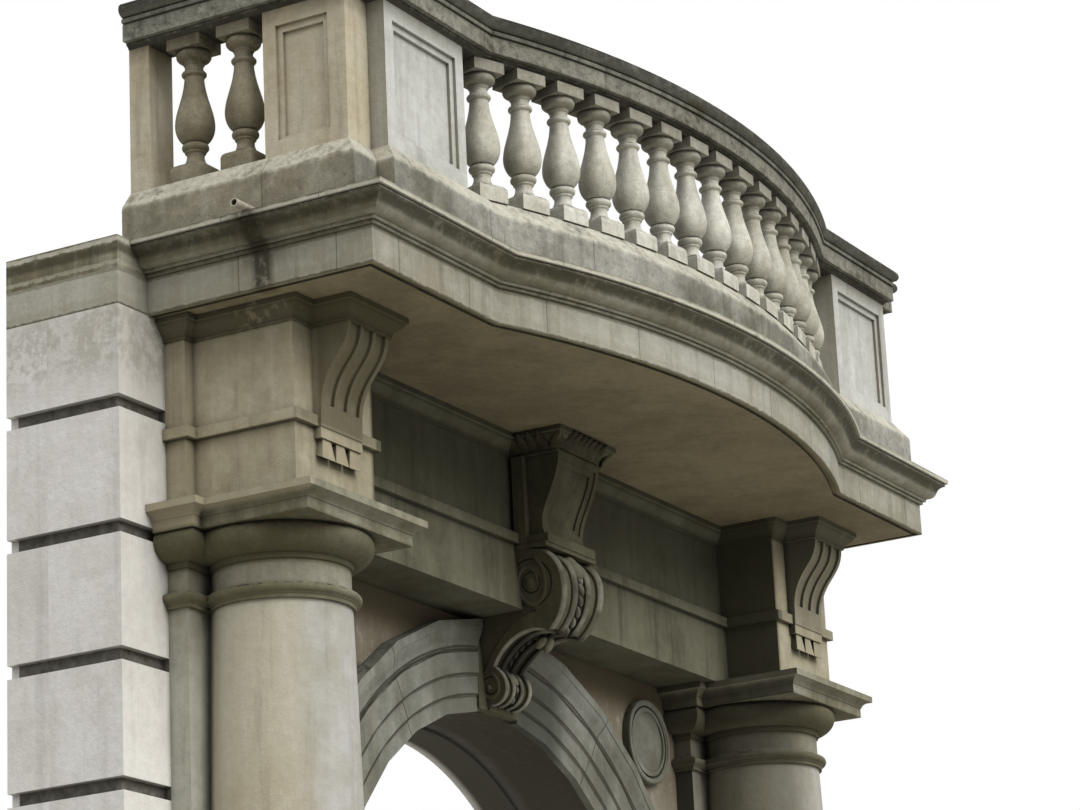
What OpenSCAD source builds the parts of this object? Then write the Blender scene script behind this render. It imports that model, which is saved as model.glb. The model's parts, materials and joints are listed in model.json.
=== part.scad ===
// Stone balcony with a bowed balustrade, carried by a portal of two engaged columns and an arched doorway.
// X runs along the front, Y into the wall, Z up. The ground is Z = 0.
// Modules work with the face of the wall at Y = 0; set_out() moves them so that the origin is the
// middle of the footprint.

/* [Portal] */
// Half the distance between the two column axes
column_x = 1950; // [1850:10:2100]
// Distance of a column's axis from the face of the wall
column_y = 277; // [260:1:300]
// Half the width of the wall behind the portal
wall_half_w = 2550; // [2500:10:2800]
// Depth of the wall's front leaf, as far as the rebate
front_leaf = 320; // [250:10:400]
// Depth of the wall's rear leaf
rear_leaf = 185; // [150:5:300]
// Height of the soffit above the ground
soffit_z = 5860; // [5800:10:6200]

/* [Columns] */
// Radius of the shaft at its foot
shaft_r_low = 315; // [290:1:316]
// Radius of the shaft under its astragal
shaft_r_top = 260; // [240:1:262]
// Height of the column's base
base_h = 330; // [300:5:400]
// Half the width of a pilaster
pilaster_half_w = 316; // [300:1:330]
// Projection of a pilaster from the wall
pilaster_d = 85; // [70:1:95]

/* [Arch] */
// Radius of the doorway's arch
arch_r = 1282; // [1150:1:1290]
// Height of the arch's centre
spring_z = 3477; // [3400:1:3480]
// Width of the archivolt
archivolt_w = 375; // [330:1:378]
// Projection of the archivolt from the wall
archivolt_d = 52; // [40:1:70]

/* [Balcony] */
// Half the width of the corona
corona_half_w = 2366; // [2300:1:2420]
// Projection of the corona's straight front
corona_d = 975; // [960:1:990]
// Height of the corona
corona_h = 140; // [120:1:160]
// Radius of the corona's bow
bow_r = 4128; // [4100:1:4140]
// Distance of the bow's centre behind the wall's face
bow_centre = 2875; // [2850:1:2900]
// Thickness of the balustrade
rail_t = 150; // [140:1:160]
// Number of balusters in the bow
bow_count = 15; // [10:1:15]
// Number of balusters on each side
side_count = 2; // [1:1:2]

/* [Hidden] */

// How finely the curved profiles are stepped
arc_steps = 8;
// Steps in a full turn of the bow's mouldings
bow_facets = 360;

// Levels above the ground
abacus_top = soffit_z - 725;
taenia_bottom = abacus_top + 265;
taenia_top = taenia_bottom + 42;
corona_top = soffit_z + corona_h;
floor_top = corona_top + 125;
plinth_h = 240;
plinth_top = floor_top + plinth_h;
coping_bottom = plinth_top + 574;
coping_h = 181;
coping_top = coping_bottom + coping_h;

// The entablature
block_half_w = 262;
block_d = 526;
strip_d = 90;
frieze_d = 250;
architrave_d = 268;
taenia_out = 22;
bed_h = 82;
bed_out = 55;
bracket_half_w = 138;

// The capital, seen as steps out from the neck
neck_r = 257;
abacus_h = 98;
abacus_half_w = 395;
capital_h = 366;
shaft_top = abacus_top - capital_h;

// The console and keystone
key_top = abacus_top + 237;
key_bottom = spring_z + arch_r;
key_half_w = 160;
volute_r = 137;
volute_y = 323;
volute_z = key_top - volute_r;
volute_opening = 78;
curl_y = 71;
curl_z = key_bottom + 90;
curl_r = 70;
scroll_top_half_w = 205;
scroll_foot_half_w = 91;
console_half_w = 170;
console_face = 385;
console_foot = key_top + 56;
console_cap_z = soffit_z - 92;
console_plate_half_w = 204;
console_plate_d = 322;

// The balustrade's plan: outer faces
side_face = 2336;
side_inner = side_face - rail_t;
corner_front = 870;
corner_back = 512;
pedestal_front = 945;
pedestal_back = 720;
pedestal_inner = 1627;
return_back = 90;
bow_face = bow_r - 38;
bow_axis = bow_face - 58;
plinth_out = 58;
coping_out = 40;
bow_pitch = 2.967;
side_first = 153;
side_pitch = 224;

// The footprint's middle lies on the origin
cornice_out = 107;
wall_y = (bow_r + cornice_out - bow_centre - front_leaf - rear_leaf) / 2;

stone_light = [0.78, 0.77, 0.72];
stone = [0.68, 0.66, 0.59];
stone_warm = [0.64, 0.60, 0.51];
stone_dark = [0.45, 0.44, 0.39];
stone_shade = [0.56, 0.55, 0.49];

// Points along an arc about c
function arc(c, r, a0, a1, steps = arc_steps) =
    [for (i = [0:steps]) let (a = a0 + (a1 - a0) * i / steps) [c[0] + r * cos(a), c[1] + r * sin(a)]];
// Points along an S curve from p to q, upright at both ends
function ogee(p, q, steps = arc_steps) =
    [for (i = [0:steps]) let (t = i / steps) [p[0] + (q[0] - p[0]) * (1 - cos(180 * t)) / 2, p[1] + (q[1] - p[1]) * t]];
// The points of a profile moved outward and up
function shifted(prof, dx, dz) = [for (p = prof) [p[0] + dx, p[1] + dz]];
// A point on a cubic curve with two handles
function bezier(a, b, c, d, steps = arc_steps) =
    [for (i = [0:steps]) let (t = i / steps, s = 1 - t)
        a * s * s * s + b * 3 * s * s * t + c * 3 * s * t * t + d * t * t * t];
function reversed(v) = [for (i = [len(v) - 1:-1:0]) v[i]];
// A line of points moved by d to its left
function moved_in(pts, d) = [for (i = [0:len(pts) - 1])
    let (t = pts[min(i + 1, len(pts) - 1)] - pts[max(i - 1, 0)]) pts[i] + d * [-t[1], t[0]] / norm(t)];

module set_out() {
    translate([0, wall_y, 0]) children();
}

// A drawing in X and Z, drawn out from Y = y_back to the front as far as Y = y_front
module along_y(y_front, y_back) {
    translate([0, y_back, 0]) rotate([90, 0, 0]) linear_extrude(height = y_back - y_front) children();
}

// A drawing in Y and Z, drawn out from X = x0 to X = x1
module along_x(x0, x1) {
    translate([x0, 0, 0]) rotate([90, 0, 90]) linear_extrude(height = x1 - x0) children();
}

// A box between two corners
module box(low, high) {
    translate(low) cube(high - low);
}

// A moulded block against the wall, with its profile mitred round the front and both sides.
// prof holds [step out, height] from the bottom up.
module mitred(x, half_w, front, back, prof) {
    low = prof[0][1];
    high = prof[len(prof) - 1][1];
    reach = half_w + 500;
    intersection() {
        along_y(-front - 500, -back)
            polygon(concat([for (p = prof) [x + half_w + p[0], p[1]]],
                [for (p = reversed(prof)) [x - half_w - p[0], p[1]]]));
        along_x(x - reach, x + reach)
            polygon(concat([[-back, low]], [for (p = prof) [-front - p[0], p[1]]], [[-back, high]]));
    }
}

// Profiles: [step out, height] from the bottom up

// The capital from its fillet to the top of its abacus, as steps out from the neck
capital_prof = concat(
    [[15, 0]],
    [[15, 13], [20, 16]],
    arc([20, 38], 17, -80, 90, 8),
    [[8, 56], [8, 62], [0, 66], [0, 146], [9, 148], [12, 168]],
    bezier([18, 168], [62, 176], [88, 205], [88, 235], 8),
    bezier([88, 235], [88, 250], [84, 260], [76, 268], 4));
abacus_prof = concat(
    [[0, 0], [0, 42]],
    bezier([3, 42], [6, 58], [20, 68], [38, 71], 6),
    [[43, 71], [43, 98]]);
abacus_set_in = 352;

// The bed mould under the soffit
bed_prof = concat(
    [[0, 0], [8, 0], [8, 10]],
    ogee([10, 10], [46, 58], 8),
    [[bed_out, 62], [bed_out, bed_h]]);

// The cornice over the corona, as steps out from the corona
cornice_prof = concat(
    [[0, 0], [0, 4], [12, 4], [12, 14], [8, 14], [8, 18], [24, 18], [24, 30]],
    bezier([27, 31], [46, 31], [57, 44], [62, 60], 6),
    bezier([64, 64], [69, 80], [79, 90], [95, 95], 6),
    [[95, 102], [90, 102], [90, 107], [cornice_out, 107], [cornice_out, 125]]);

// The coping, as steps out from the balustrade's face
coping_prof = concat(
    [[2, 0], [8, 9], [18, 15], [18, 22], [coping_out, 22], [coping_out, 88], [36, 90], [36, 94]],
    [[47, 95], [47, 110], [38, 112], [38, 116]],
    arc([37, 145], 29, -82, 80, 8),
    [[20, 176], [-10, 180], [-rail_t / 2, coping_h]]);

// The plinth course, with its weathered shoulder
plinth_prof = concat(
    [[plinth_out, 0], [plinth_out, 152]],
    bezier([plinth_out, 152], [plinth_out, 164], [55, 170], [49, 175], 5),
    [[5, 234], [0, plinth_h]]);

// Columns

module shaft() {
    h = shaft_top - base_h;
    steps = 14;
    rotate_extrude() polygon(concat(
        [[0, 0], [shaft_r_low + 22, 0], [shaft_r_low + 22, 22]],
        bezier([shaft_r_low + 18, 22], [shaft_r_low + 4, 30], [shaft_r_low, 50], [shaft_r_low, 80], 5),
        [for (i = [1:steps]) let (t = i / steps)
            [shaft_r_low - (shaft_r_low - shaft_r_top) * t * t, 80 + (h - 80) * t]],
        [[0, h]]));
}

module right_column_shaft() {
    color(stone_light) set_out() difference() {
        translate([column_x, -column_y, base_h]) shaft();
        box([column_x - 500, -pilaster_d, 0], [column_x + 500, 200, soffit_z]);
    }
}

module left_column_shaft() {
    mirror([1, 0, 0]) right_column_shaft();
}

module right_pilaster() {
    color(stone) set_out()
        box([column_x - pilaster_half_w, -pilaster_d, base_h], [column_x + pilaster_half_w, 0, shaft_top]);
}

module left_pilaster() {
    mirror([1, 0, 0]) right_pilaster();
}

// An attic base: plinth, torus, scotia and torus, as steps out from the shaft's foot
base_steps = concat(
    arc([52, 150], 38, -90, 90, 8),
    [[48, 190], [48, 200]],
    bezier([40, 200], [22, 206], [18, 236], [30, 242], 6),
    [[36, 242], [36, 252]],
    arc([32, 276], 24, -80, 90, 7),
    [[24, 302], [24, base_h]]);
base_plinth_h = 112;

module right_column_base() {
    color(stone) set_out() {
        translate([column_x, -column_y, 0]) difference() {
            rotate_extrude() polygon(concat(
                [[0, base_plinth_h]], [for (p = base_steps) [shaft_r_low + p[0], p[1]]], [[0, base_h]]));
            box([-600, column_y, -10], [600, 700, base_h + 10]);
        }
        mitred(column_x, pilaster_half_w, pilaster_d, 0,
            concat([[0, base_plinth_h]], base_steps));
        box([column_x - 405, -column_y - 405, 0], [column_x + 405, 0, base_plinth_h]);
    }
}

module left_column_base() {
    mirror([1, 0, 0]) right_column_base();
}

module right_capital() {
    abacus_z = abacus_top - abacus_h;
    color(stone_light) set_out() {
        translate([column_x, -column_y, shaft_top]) difference() {
            rotate_extrude() polygon(concat(
                [[0, 0]], [for (p = capital_prof) [neck_r + p[0], p[1]]], [[0, 268]]));
            box([-600, column_y, -10], [600, 700, capital_h + 10]);
        }
        mitred(column_x, pilaster_half_w, pilaster_d, 0, shifted(capital_prof, 0, shaft_top));
        mitred(column_x, abacus_set_in, column_y + abacus_set_in, 0, shifted(abacus_prof, 0, abacus_z));
        mitred(column_x, pilaster_half_w + 90, pilaster_d + 90, 0, shifted(abacus_prof, 0, abacus_z));
    }
}

module left_capital() {
    mirror([1, 0, 0]) right_capital();
}

// The wall and its doorway

// The grooves between the wall's courses, beside the right pilaster and round the wall's right end
course_first = 366;
course_pitch = 464;
groove_h = 50;
groove_d = 28;
module course_grooves() {
    for (z = [course_first:course_pitch:soffit_z - 200]) {
        box([column_x + pilaster_half_w, -1, z], [wall_half_w + 1, groove_d, z + groove_h]);
        box([wall_half_w - groove_d, 0, z], [wall_half_w + 1, front_leaf + rear_leaf + 1, z + groove_h]);
    }
}

module right_wall() {
    color(stone_shade) set_out() difference() {
        box([arch_r, 0, 0], [wall_half_w, front_leaf, spring_z]);
        course_grooves();
    }
}

module left_wall() {
    mirror([1, 0, 0]) right_wall();
}

module arch_wall() {
    color(stone_warm) set_out() difference() {
        box([-wall_half_w, 0, spring_z], [wall_half_w, front_leaf, soffit_z]);
        translate([0, 0, spring_z]) along_y(-10, front_leaf + 10) circle(r = arch_r);
        course_grooves();
        mirror([1, 0, 0]) course_grooves();
    }
}

rebate = 14;

module right_rear_wall() {
    color(stone_dark) set_out()
        difference() {
            box([arch_r - rebate, front_leaf, 0], [wall_half_w, front_leaf + rear_leaf, spring_z]);
            course_grooves();
        }
}

module left_rear_wall() {
    mirror([1, 0, 0]) right_rear_wall();
}

module rear_arch() {
    color(stone_dark) set_out() difference() {
        box([-wall_half_w, front_leaf, spring_z], [wall_half_w, front_leaf + rear_leaf, soffit_z]);
        translate([0, 0, spring_z]) along_y(front_leaf - 10, front_leaf + rear_leaf + 10) circle(r = arch_r - rebate);
        course_grooves();
        mirror([1, 0, 0]) course_grooves();
    }
}

impost_h = 150;
impost_prof = concat(
    [[0, 0], [10, 0], [10, 14], [0, 18], [0, 70]],
    bezier([4, 70], [8, 92], [22, 112], [44, 116], 6),
    [[50, 116], [50, impost_h]]);

module right_impost_pier() {
    x0 = arch_r;
    x1 = column_x - pilaster_half_w;
    half = (x1 - x0) / 2;
    color(stone) set_out() {
        box([x0, -archivolt_d, 0], [x1, 0, spring_z - impost_h]);
        box([x0 - 1, -archivolt_d - 14, 0], [x1, -archivolt_d, 280]);
        intersection() {
            mitred(x0 + half, half, archivolt_d, 0, shifted(impost_prof, 0, spring_z - impost_h));
            box([x0 - 100, -300, 0], [x1, 0, spring_z]);
        }
    }
}

module left_impost_pier() {
    mirror([1, 0, 0]) right_impost_pier();
}

// The archivolt: three fasciae and an outer cyma, as [radius beyond the opening, projection]
function archivolt_prof() = concat(
    [[0, 0], [0, archivolt_d - 18], [62, archivolt_d - 18], [66, archivolt_d - 10], [146, archivolt_d - 10],
        [150, archivolt_d - 2], [244, archivolt_d - 2], [248, archivolt_d - 10], [258, archivolt_d - 10],
        [262, archivolt_d - 2], [272, archivolt_d - 2]],
    bezier([278, archivolt_d], [296, archivolt_d + 2], [312, archivolt_d + 20], [338, archivolt_d + 22], 6),
    [[340, archivolt_d + 26], [archivolt_w, archivolt_d + 26], [archivolt_w, 0]]);

module archivolt() {
    color(stone_light) set_out() difference() {
        intersection() {
            translate([0, 0, spring_z]) rotate([90, 0, 0]) rotate_extrude(angle = 180)
                translate([arch_r, 0]) polygon(archivolt_prof());
            box([-column_x + pilaster_half_w, -200, 0], [column_x - pilaster_half_w, 10, soffit_z]);
        }
        box([-key_half_w, -200, key_bottom - 50], [key_half_w, 10, soffit_z]);
    }
}

module right_roundel() {
    r = 190;
    color(stone_light) set_out() translate([1335, 0, abacus_top - 278]) rotate([90, 0, 0])
        rotate_extrude() polygon(concat(
            [[0, 0], [r, 0], [r, 26]],
            arc([r - 12, 28], 12, 0, 150, 6),
            [[r - 27, 30], [r - 28, 20], [r - 36, 20], [r - 37, 30], [r - 54, 32], [r - 58, 24]],
            [for (i = [0:6]) let (t = i / 6) [(r - 62) * (1 - t), 24 + 22 * sin(90 * t)]]));
}

module left_roundel() {
    mirror([1, 0, 0]) right_roundel();
}

// The entablature

module block_solid() {
    frieze_top = soffit_z - bed_h;
    for (s = [[block_half_w, block_d], [pilaster_half_w, strip_d]]) {
        mitred(column_x, s[0], s[1], 0, [[0, abacus_top], [0, taenia_bottom]]);
        mitred(column_x, s[0], s[1], 0, [[taenia_out, taenia_bottom], [taenia_out, taenia_top]]);
        mitred(column_x, s[0], s[1], 0, [[0, taenia_top], [0, frieze_top]]);
        mitred(column_x, s[0], s[1], 0, shifted(bed_prof, 0, frieze_top));
    }
}

// The regula under the taenia and its three wedge drops
regula_h = 42;
drop_h = 74;
module regula() {
    front = block_d + 32;
    x = column_x;
    box([x - bracket_half_w, -front, taenia_bottom - regula_h], [x + bracket_half_w, -block_d, taenia_bottom]);
    z0 = taenia_bottom - regula_h;
    for (i = [-1:1]) intersection() {
        along_y(-front - 1, -block_d)
            polygon([[x + i * 90 - 26, z0], [x + i * 90 + 26, z0],
                [x + i * 90 + 43, z0 - drop_h], [x + i * 90 - 43, z0 - drop_h]]);
        along_x(x - 200, x + 200)
            polygon([[-block_d, z0], [-front + 8, z0], [-front, z0 - drop_h], [-block_d, z0 - drop_h + 14]]);
    }
}

module right_entablature_block() {
    color(stone_light) set_out() {
        block_solid();
        regula();
    }
}

module left_entablature_block() {
    mirror([1, 0, 0]) right_entablature_block();
}

// The scroll bracket on the block: an S curve in Y and Z
bracket_foot = taenia_bottom;
bracket_top = soffit_z - bed_h;
function bracket_front(inset = 0) = concat(
    [[-block_d - 34 + inset, bracket_foot], [-block_d - 36 + inset, bracket_foot + 90]],
    bezier([-block_d - 36 + inset, bracket_foot + 90], [-block_d - 40 + inset, bracket_foot + 170],
        [-block_d - 80 + inset, bracket_foot + 220], [-block_d - 112 + inset, bracket_foot + 258], 8),
    bezier([-block_d - 112 + inset, bracket_foot + 258], [-block_d - 138 + inset, bracket_foot + 290],
        [-block_d - 160 + inset, bracket_foot + 320], [-block_d - 162 + inset, bracket_top], 6));

module right_bracket() {
    back = -block_d;
    color(stone) set_out() {
        difference() {
            along_x(column_x - bracket_half_w, column_x + bracket_half_w)
                polygon(concat([[back, bracket_foot]], bracket_front(), [[back, bracket_top]]));
            for (i = [-1:1]) along_x(column_x + i * 84 - 32, column_x + i * 84 + 32)
                polygon(concat([[back - 400, bracket_foot + 60]],
                    [for (p = bracket_front(14)) if (p[1] > bracket_foot + 60) p],
                    [[back - 400, bracket_top + 1]]));
            box([column_x - 300, -block_d - taenia_out, bracket_foot - 1], [column_x + 300, -block_d + 1, taenia_top]);
        }
        difference() {
            mitred(column_x, bracket_half_w + 6, block_d + 160, block_d, shifted(bed_prof, 0, bracket_top));
            mitred(column_x, block_half_w, block_d, 0, shifted(bed_prof, 0, bracket_top));
        }
    }
}

module left_bracket() {
    mirror([1, 0, 0]) right_bracket();
}

// The lintel between the blocks, cut round the blocks and the console
module both_blocks() {
    block_solid();
    mirror([1, 0, 0]) block_solid();
}

module architrave() {
    inner = column_x - block_half_w;
    color(stone) set_out() difference() {
        union() {
            box([-inner, -architrave_d, abacus_top], [inner, 0, taenia_bottom]);
            box([-inner, -architrave_d - taenia_out, taenia_bottom], [inner, 0, taenia_top]);
        }
        both_blocks();
        console_solid();
    }
}

module frieze() {
    inner = column_x - block_half_w;
    z0 = soffit_z - bed_h;
    color(stone_shade) set_out() difference() {
        along_x(-inner, inner) polygon(concat(
            [[0, taenia_top], [-frieze_d, taenia_top]],
            [for (p = bed_prof) [-frieze_d - p[0], z0 + p[1]]],
            [[0, soffit_z]]));
        both_blocks();
        console_solid();
    }
}

// The console over the keystone

// The front of its body, moved back by inset: an S curve in Y and Z
function console_front(inset = 0) = [for (p = concat(
    bezier([-console_face - 10, console_foot], [-console_face + 8, console_foot + 36],
        [-console_face + 8, console_foot + 76], [-console_face - 20, console_foot + 136], 6),
    bezier([-console_face - 20, console_foot + 136], [-console_face - 52, console_foot + 206],
        [-console_face - 84, console_foot + 256], [-console_face - 90, console_cap_z], 8)))
    p + [inset, 0]];

module console_solid() {
    // the plate behind
    box([-console_plate_half_w, -console_plate_d, key_top], [console_plate_half_w, -architrave_d, console_cap_z]);
    // the body
    along_x(-console_half_w, console_half_w) polygon(concat(
        [[-architrave_d, console_foot]], console_front(), [[-architrave_d, console_cap_z]]));
    // the two fillets at its foot
    box([-console_half_w - 28, -console_face - 37, key_top + 18],
        [console_half_w + 28, -architrave_d, console_foot]);
    box([-console_half_w - 41, -console_face - 33, key_top], [console_half_w + 41, -architrave_d, key_top + 18]);
    // the cap
    mitred(0, console_half_w, console_face + 76, architrave_d - 20, concat(
        [[0, console_cap_z], [14, console_cap_z], [14, console_cap_z + 14]],
        ogee([17, console_cap_z + 14], [56, console_cap_z + 70], 8),
        [[66, console_cap_z + 72], [66, soffit_z]]));
}

module console() {
    color(stone_shade) set_out() difference() {
        intersection() {
            console_solid();
            box([-400, -900, key_top - 1], [400, -frieze_d, soffit_z]);
        }
        // the sunk panel, with a stepped edge
        for (k = [0, 1]) intersection() {
            along_x(-146 + k * 34, 146 - k * 34) polygon(concat(
                [[-900, console_foot]], console_front(7 + k * 9), [[-900, console_cap_z]]));
            box([-400, -900, console_foot + 56 + k * 18], [400, 0, console_cap_z - 24 - k * 24]);
        }
    }
}

// The keystone: an S scroll in Y and Z that narrows downward, with a volute at its head and a curl at its foot

// The scroll's front, from the top of the volute round it, up its hollow underside and round the curl
scroll_front = concat(
    [for (i = [0:14]) let (a = 90 + 165 * i / 14, r = volute_r + volute_opening * pow(max(0, a - 170) / 92, 2))
        [-volute_y + r * cos(a), volute_z + r * sin(a)]],
    bezier([-352, volute_z - 188], [-270, volute_z - 156], [-150, volute_z - 204], [-92, curl_z + 78], 10),
    [for (i = [0:10]) let (a = 112 + 168 * i / 10, r = curl_r + 12 * pow(max(0, 180 - a) / 68, 2))
        [-curl_y + r * cos(a), curl_z + r * sin(a)]]);

module scroll_side(inset) {
    along_x(-300, 300) polygon(concat(
        [[-architrave_d, abacus_top], [-architrave_d, key_top]],
        [[-volute_y, key_top]],
        moved_in(scroll_front, inset),
        [[-archivolt_d, key_bottom], [0, key_bottom], [0, abacus_top]]));
}

// A wedge as wide as the scroll times share, less a margin at each side
module scroll_wedge(share = 1, margin = 0) {
    top = scroll_top_half_w * share - margin;
    foot = scroll_foot_half_w * share - margin;
    along_y(-900, 10) polygon([[-foot, key_bottom - 1], [foot, key_bottom - 1], [top, key_top + 1], [-top, key_top + 1]]);
}

// What is sunk in the scroll's sides: the field behind its band and the rings of the volute and curl
module scroll_sinkings() {
    along_x(-300, 300) difference() {
        polygon(concat(
            bezier([-335, volute_z - 116], [-230, volute_z - 116], [-130, volute_z - 200], [-58, curl_z + 76], 8),
            [[-40, curl_z + 20], [10, curl_z], [10, abacus_top + 10], [-architrave_d, volute_z - 60]]));
        translate([-volute_y, volute_z]) circle(r = 97);
        translate([-curl_y, curl_z]) circle(r = curl_r);
    }
    for (ring = [[-volute_y, volute_z, 97, 90], [-volute_y, volute_z, 44, 38], [-curl_y, curl_z + 8, 37, 32]])
        along_x(-300, 300) translate([ring[0], ring[1]]) difference() {
            circle(r = ring[2]);
            circle(r = ring[3]);
        }
}

module keystone_scroll() {
    sunk = 12;
    color(stone_shade) set_out() {
        difference() {
            union() {
                intersection() {
                    scroll_side(sunk);
                    scroll_wedge();
                }
                // the rolls along both edges and beside the rope
                intersection() {
                    scroll_side(0);
                    difference() {
                        scroll_wedge();
                        scroll_wedge(0.74);
                    }
                }
                intersection() {
                    scroll_side(3);
                    difference() {
                        scroll_wedge(0.42);
                        scroll_wedge(0.2);
                    }
                }
            }
            difference() {
                scroll_sinkings();
                scroll_wedge(1, 8);
            }
        }
        box([-key_half_w, 8 - archivolt_d, key_bottom], [key_half_w, 0, abacus_top]);
    }
}

// The balcony

// A slab edge that runs straight along both sides and bows out in the middle of the front
module slab(prof, back) {
    low = prof[0][1];
    high = prof[len(prof) - 1][1];
    mitred(0, corona_half_w, corona_d, back, prof);
    intersection() {
        translate([0, bow_centre, 0]) rotate([0, 0, 180]) rotate_extrude(angle = 180, $fn = bow_facets)
            polygon(concat([[0, low]], [for (p = prof) [bow_r + p[0], p[1]]], [[0, high]]));
        box([-2000, -2000, low], [2000, -corona_d + 300, high]);
    }
}

// The drip groove runs under the slab a little way in from its edge
drip_in = 14;
drip_w = 22;
drip_h = 12;
module soffit_slab() {
    color(stone_light) set_out() {
        difference() {
            slab([[0, soffit_z], [0, corona_top]], 0);
            difference() {
                slab([[-drip_in, soffit_z - 1], [-drip_in, soffit_z + drip_h]], 0);
                slab([[-drip_in - drip_w, soffit_z - 2], [-drip_in - drip_w, soffit_z + drip_h + 1]], -1);
            }
        }
        box([-wall_half_w, 0, soffit_z], [wall_half_w, front_leaf + rear_leaf, corona_top]);
    }
}

module floor_slab() {
    color(stone) set_out() {
        slab(shifted(cornice_prof, 0, corona_top), 0);
        box([-wall_half_w, 0, corona_top], [wall_half_w, front_leaf + rear_leaf, floor_top]);
    }
}

// A moulding round the right front pedestal, which ends where the bow's moulding begins
module pedestal_run(prof) {
    intersection() {
        along_y(-pedestal_front - 500, -pedestal_back + 500) polygon(concat(
            [for (p = prof) [side_inner + p[0], p[1]]],
            [[pedestal_inner, prof[len(prof) - 1][1]], [pedestal_inner, prof[0][1]]]));
        along_x(pedestal_inner - 200, side_face) polygon(concat(
            [for (p = prof) [-pedestal_front - p[0], p[1]]],
            [for (p = reversed(prof)) [-pedestal_back + p[0], p[1]]]));
    }
}

// A run of moulding along one side and round the corner pier and the front pedestal
module right_run(prof) {
    half = rail_t / 2;
    mitred(side_face - half, half, corner_front, -return_back, prof);
    pedestal_run(prof);
}

// A run of moulding round the bow. The pedestals' straight fronts run on until the bow comes out of them.
module bow_run(prof) {
    sweep = asin(pedestal_inner / bow_face) + 4;
    low = prof[0][1];
    high = prof[len(prof) - 1][1];
    intersection() {
        union() {
            translate([0, bow_centre, 0]) rotate([0, 0, 270 - sweep])
                rotate_extrude(angle = 2 * sweep, $fn = bow_facets) polygon(concat(
                    [for (p = prof) [bow_face + p[0], p[1]]],
                    [for (p = reversed(prof)) [bow_face - rail_t - p[0], p[1]]]));
            for (x = [-pedestal_inner - 10, pedestal_inner - 220]) along_x(x, x + 230) polygon(concat(
                [for (p = prof) [-pedestal_front - p[0], p[1]]],
                [[95 - pedestal_front, high], [95 - pedestal_front, low]]));
        }
        box([-pedestal_inner, -2000, 0], [pedestal_inner, 0, 9000]);
    }
}

module right_plinth() {
    color(stone_light) set_out() right_run(shifted(plinth_prof, 0, floor_top));
}

module left_plinth() {
    mirror([1, 0, 0]) right_plinth();
}

module front_plinth() {
    color(stone_light) set_out() bow_run(shifted(plinth_prof, 0, floor_top));
}

module right_coping() {
    color(stone_dark) set_out() right_run(shifted(coping_prof, 0, coping_bottom));
}

module left_coping() {
    mirror([1, 0, 0]) right_coping();
}

module front_coping() {
    color(stone_dark) set_out() bow_run(shifted(coping_prof, 0, coping_bottom));
}

module right_wall_pier() {
    color(stone) set_out()
        box([side_inner, 0, plinth_top], [side_face, return_back, coping_bottom]);
}

module left_wall_pier() {
    mirror([1, 0, 0]) right_wall_pier();
}

panel_edge = 56;
panel_bottom = plinth_top + 58;
panel_top = coping_bottom - 66;
panel_step = 27;
panel_deep = 12;

module right_corner_pier() {
    color(stone) set_out() difference() {
        box([side_inner, -corner_front, plinth_top], [side_face, -corner_back, coping_bottom]);
        for (k = [0, 1]) box(
            [side_face - panel_deep * (k + 1), -corner_front + panel_edge + 20 + k * 24, panel_bottom + k * panel_step / 2],
            [side_face + 1, -corner_back - panel_edge - k * 24, panel_top - k * panel_step]);
    }
}

module left_corner_pier() {
    mirror([1, 0, 0]) right_corner_pier();
}

module right_front_pedestal() {
    color(stone_light) set_out() difference() {
        box([pedestal_inner, -pedestal_front, plinth_top], [side_inner, -pedestal_back, coping_bottom]);
        for (k = [0, 1]) box(
            [pedestal_inner + panel_edge + k * panel_step, -pedestal_front - 1, panel_bottom + k * panel_step / 2],
            [side_inner - panel_edge - k * panel_step, -pedestal_front + panel_deep * (k + 1), panel_top - k * panel_step]);
    }
}

module left_front_pedestal() {
    mirror([1, 0, 0]) right_front_pedestal();
}

// One baluster, standing on Z = 0
baluster_h = coping_bottom - plinth_top;
module baluster() {
    top_half = 73;
    foot_half = 68;
    foot_h = 48;
    box([-foot_half, -foot_half, 0], [foot_half, foot_half, foot_h]);
    box([-top_half, -top_half, baluster_h - 45], [top_half, top_half, baluster_h]);
    // a cushion, square in plan, between the foot's block and the round neck
    intersection() {
        along_x(-foot_half, foot_half) cushion(foot_half, foot_h);
        along_y(-foot_half, foot_half) cushion(foot_half, foot_h);
    }
    rotate_extrude() polygon(concat(
        [[0, foot_h], [48, foot_h]],
        bezier([54, 66], [44, 76], [35, 88], [33, 106], 6),
        [[34, 120], [40, 124], [40, 131]],
        arc([36, 146], 15, -80, 70, 7),
        bezier([39, 161], [62, 172], [76, 204], [75, 236], 8),
        bezier([75, 236], [73, 294], [41, 346], [37, 424], 11),
        [[38, 427]],
        arc([37, 439], 10.5, -80, 80, 6),
        [[37, 451], [35, 456], [35, 472], [40, 477], [40, 487], [44, 490]],
        bezier([46, 490], [60, 492], [68, 502], [66, 515], 5),
        [[62, 525], [60, baluster_h - 45], [0, baluster_h - 45]]));
}

// The cushion's outline, seen from one side
module cushion(half, foot) {
    polygon(concat(
        bezier([half, foot], [half, foot + 16], [half - 12, foot + 26], [36, foot + 30], 5),
        reversed(bezier([-half, foot], [-half, foot + 16], [12 - half, foot + 26], [-36, foot + 30], 5))));
}

module right_balusters() {
    color(stone) set_out() for (i = [0:side_count - 1])
        translate([side_face - rail_t / 2, -side_first - i * side_pitch, plinth_top]) baluster();
}

module left_balusters() {
    mirror([1, 0, 0]) right_balusters();
}

module front_balusters() {
    color(stone_light) set_out() for (i = [0:bow_count - 1])
        translate([0, bow_centre, plinth_top]) rotate([0, 0, (i - (bow_count - 1) / 2) * bow_pitch])
            translate([0, -bow_axis, 0]) baluster();
}

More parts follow.
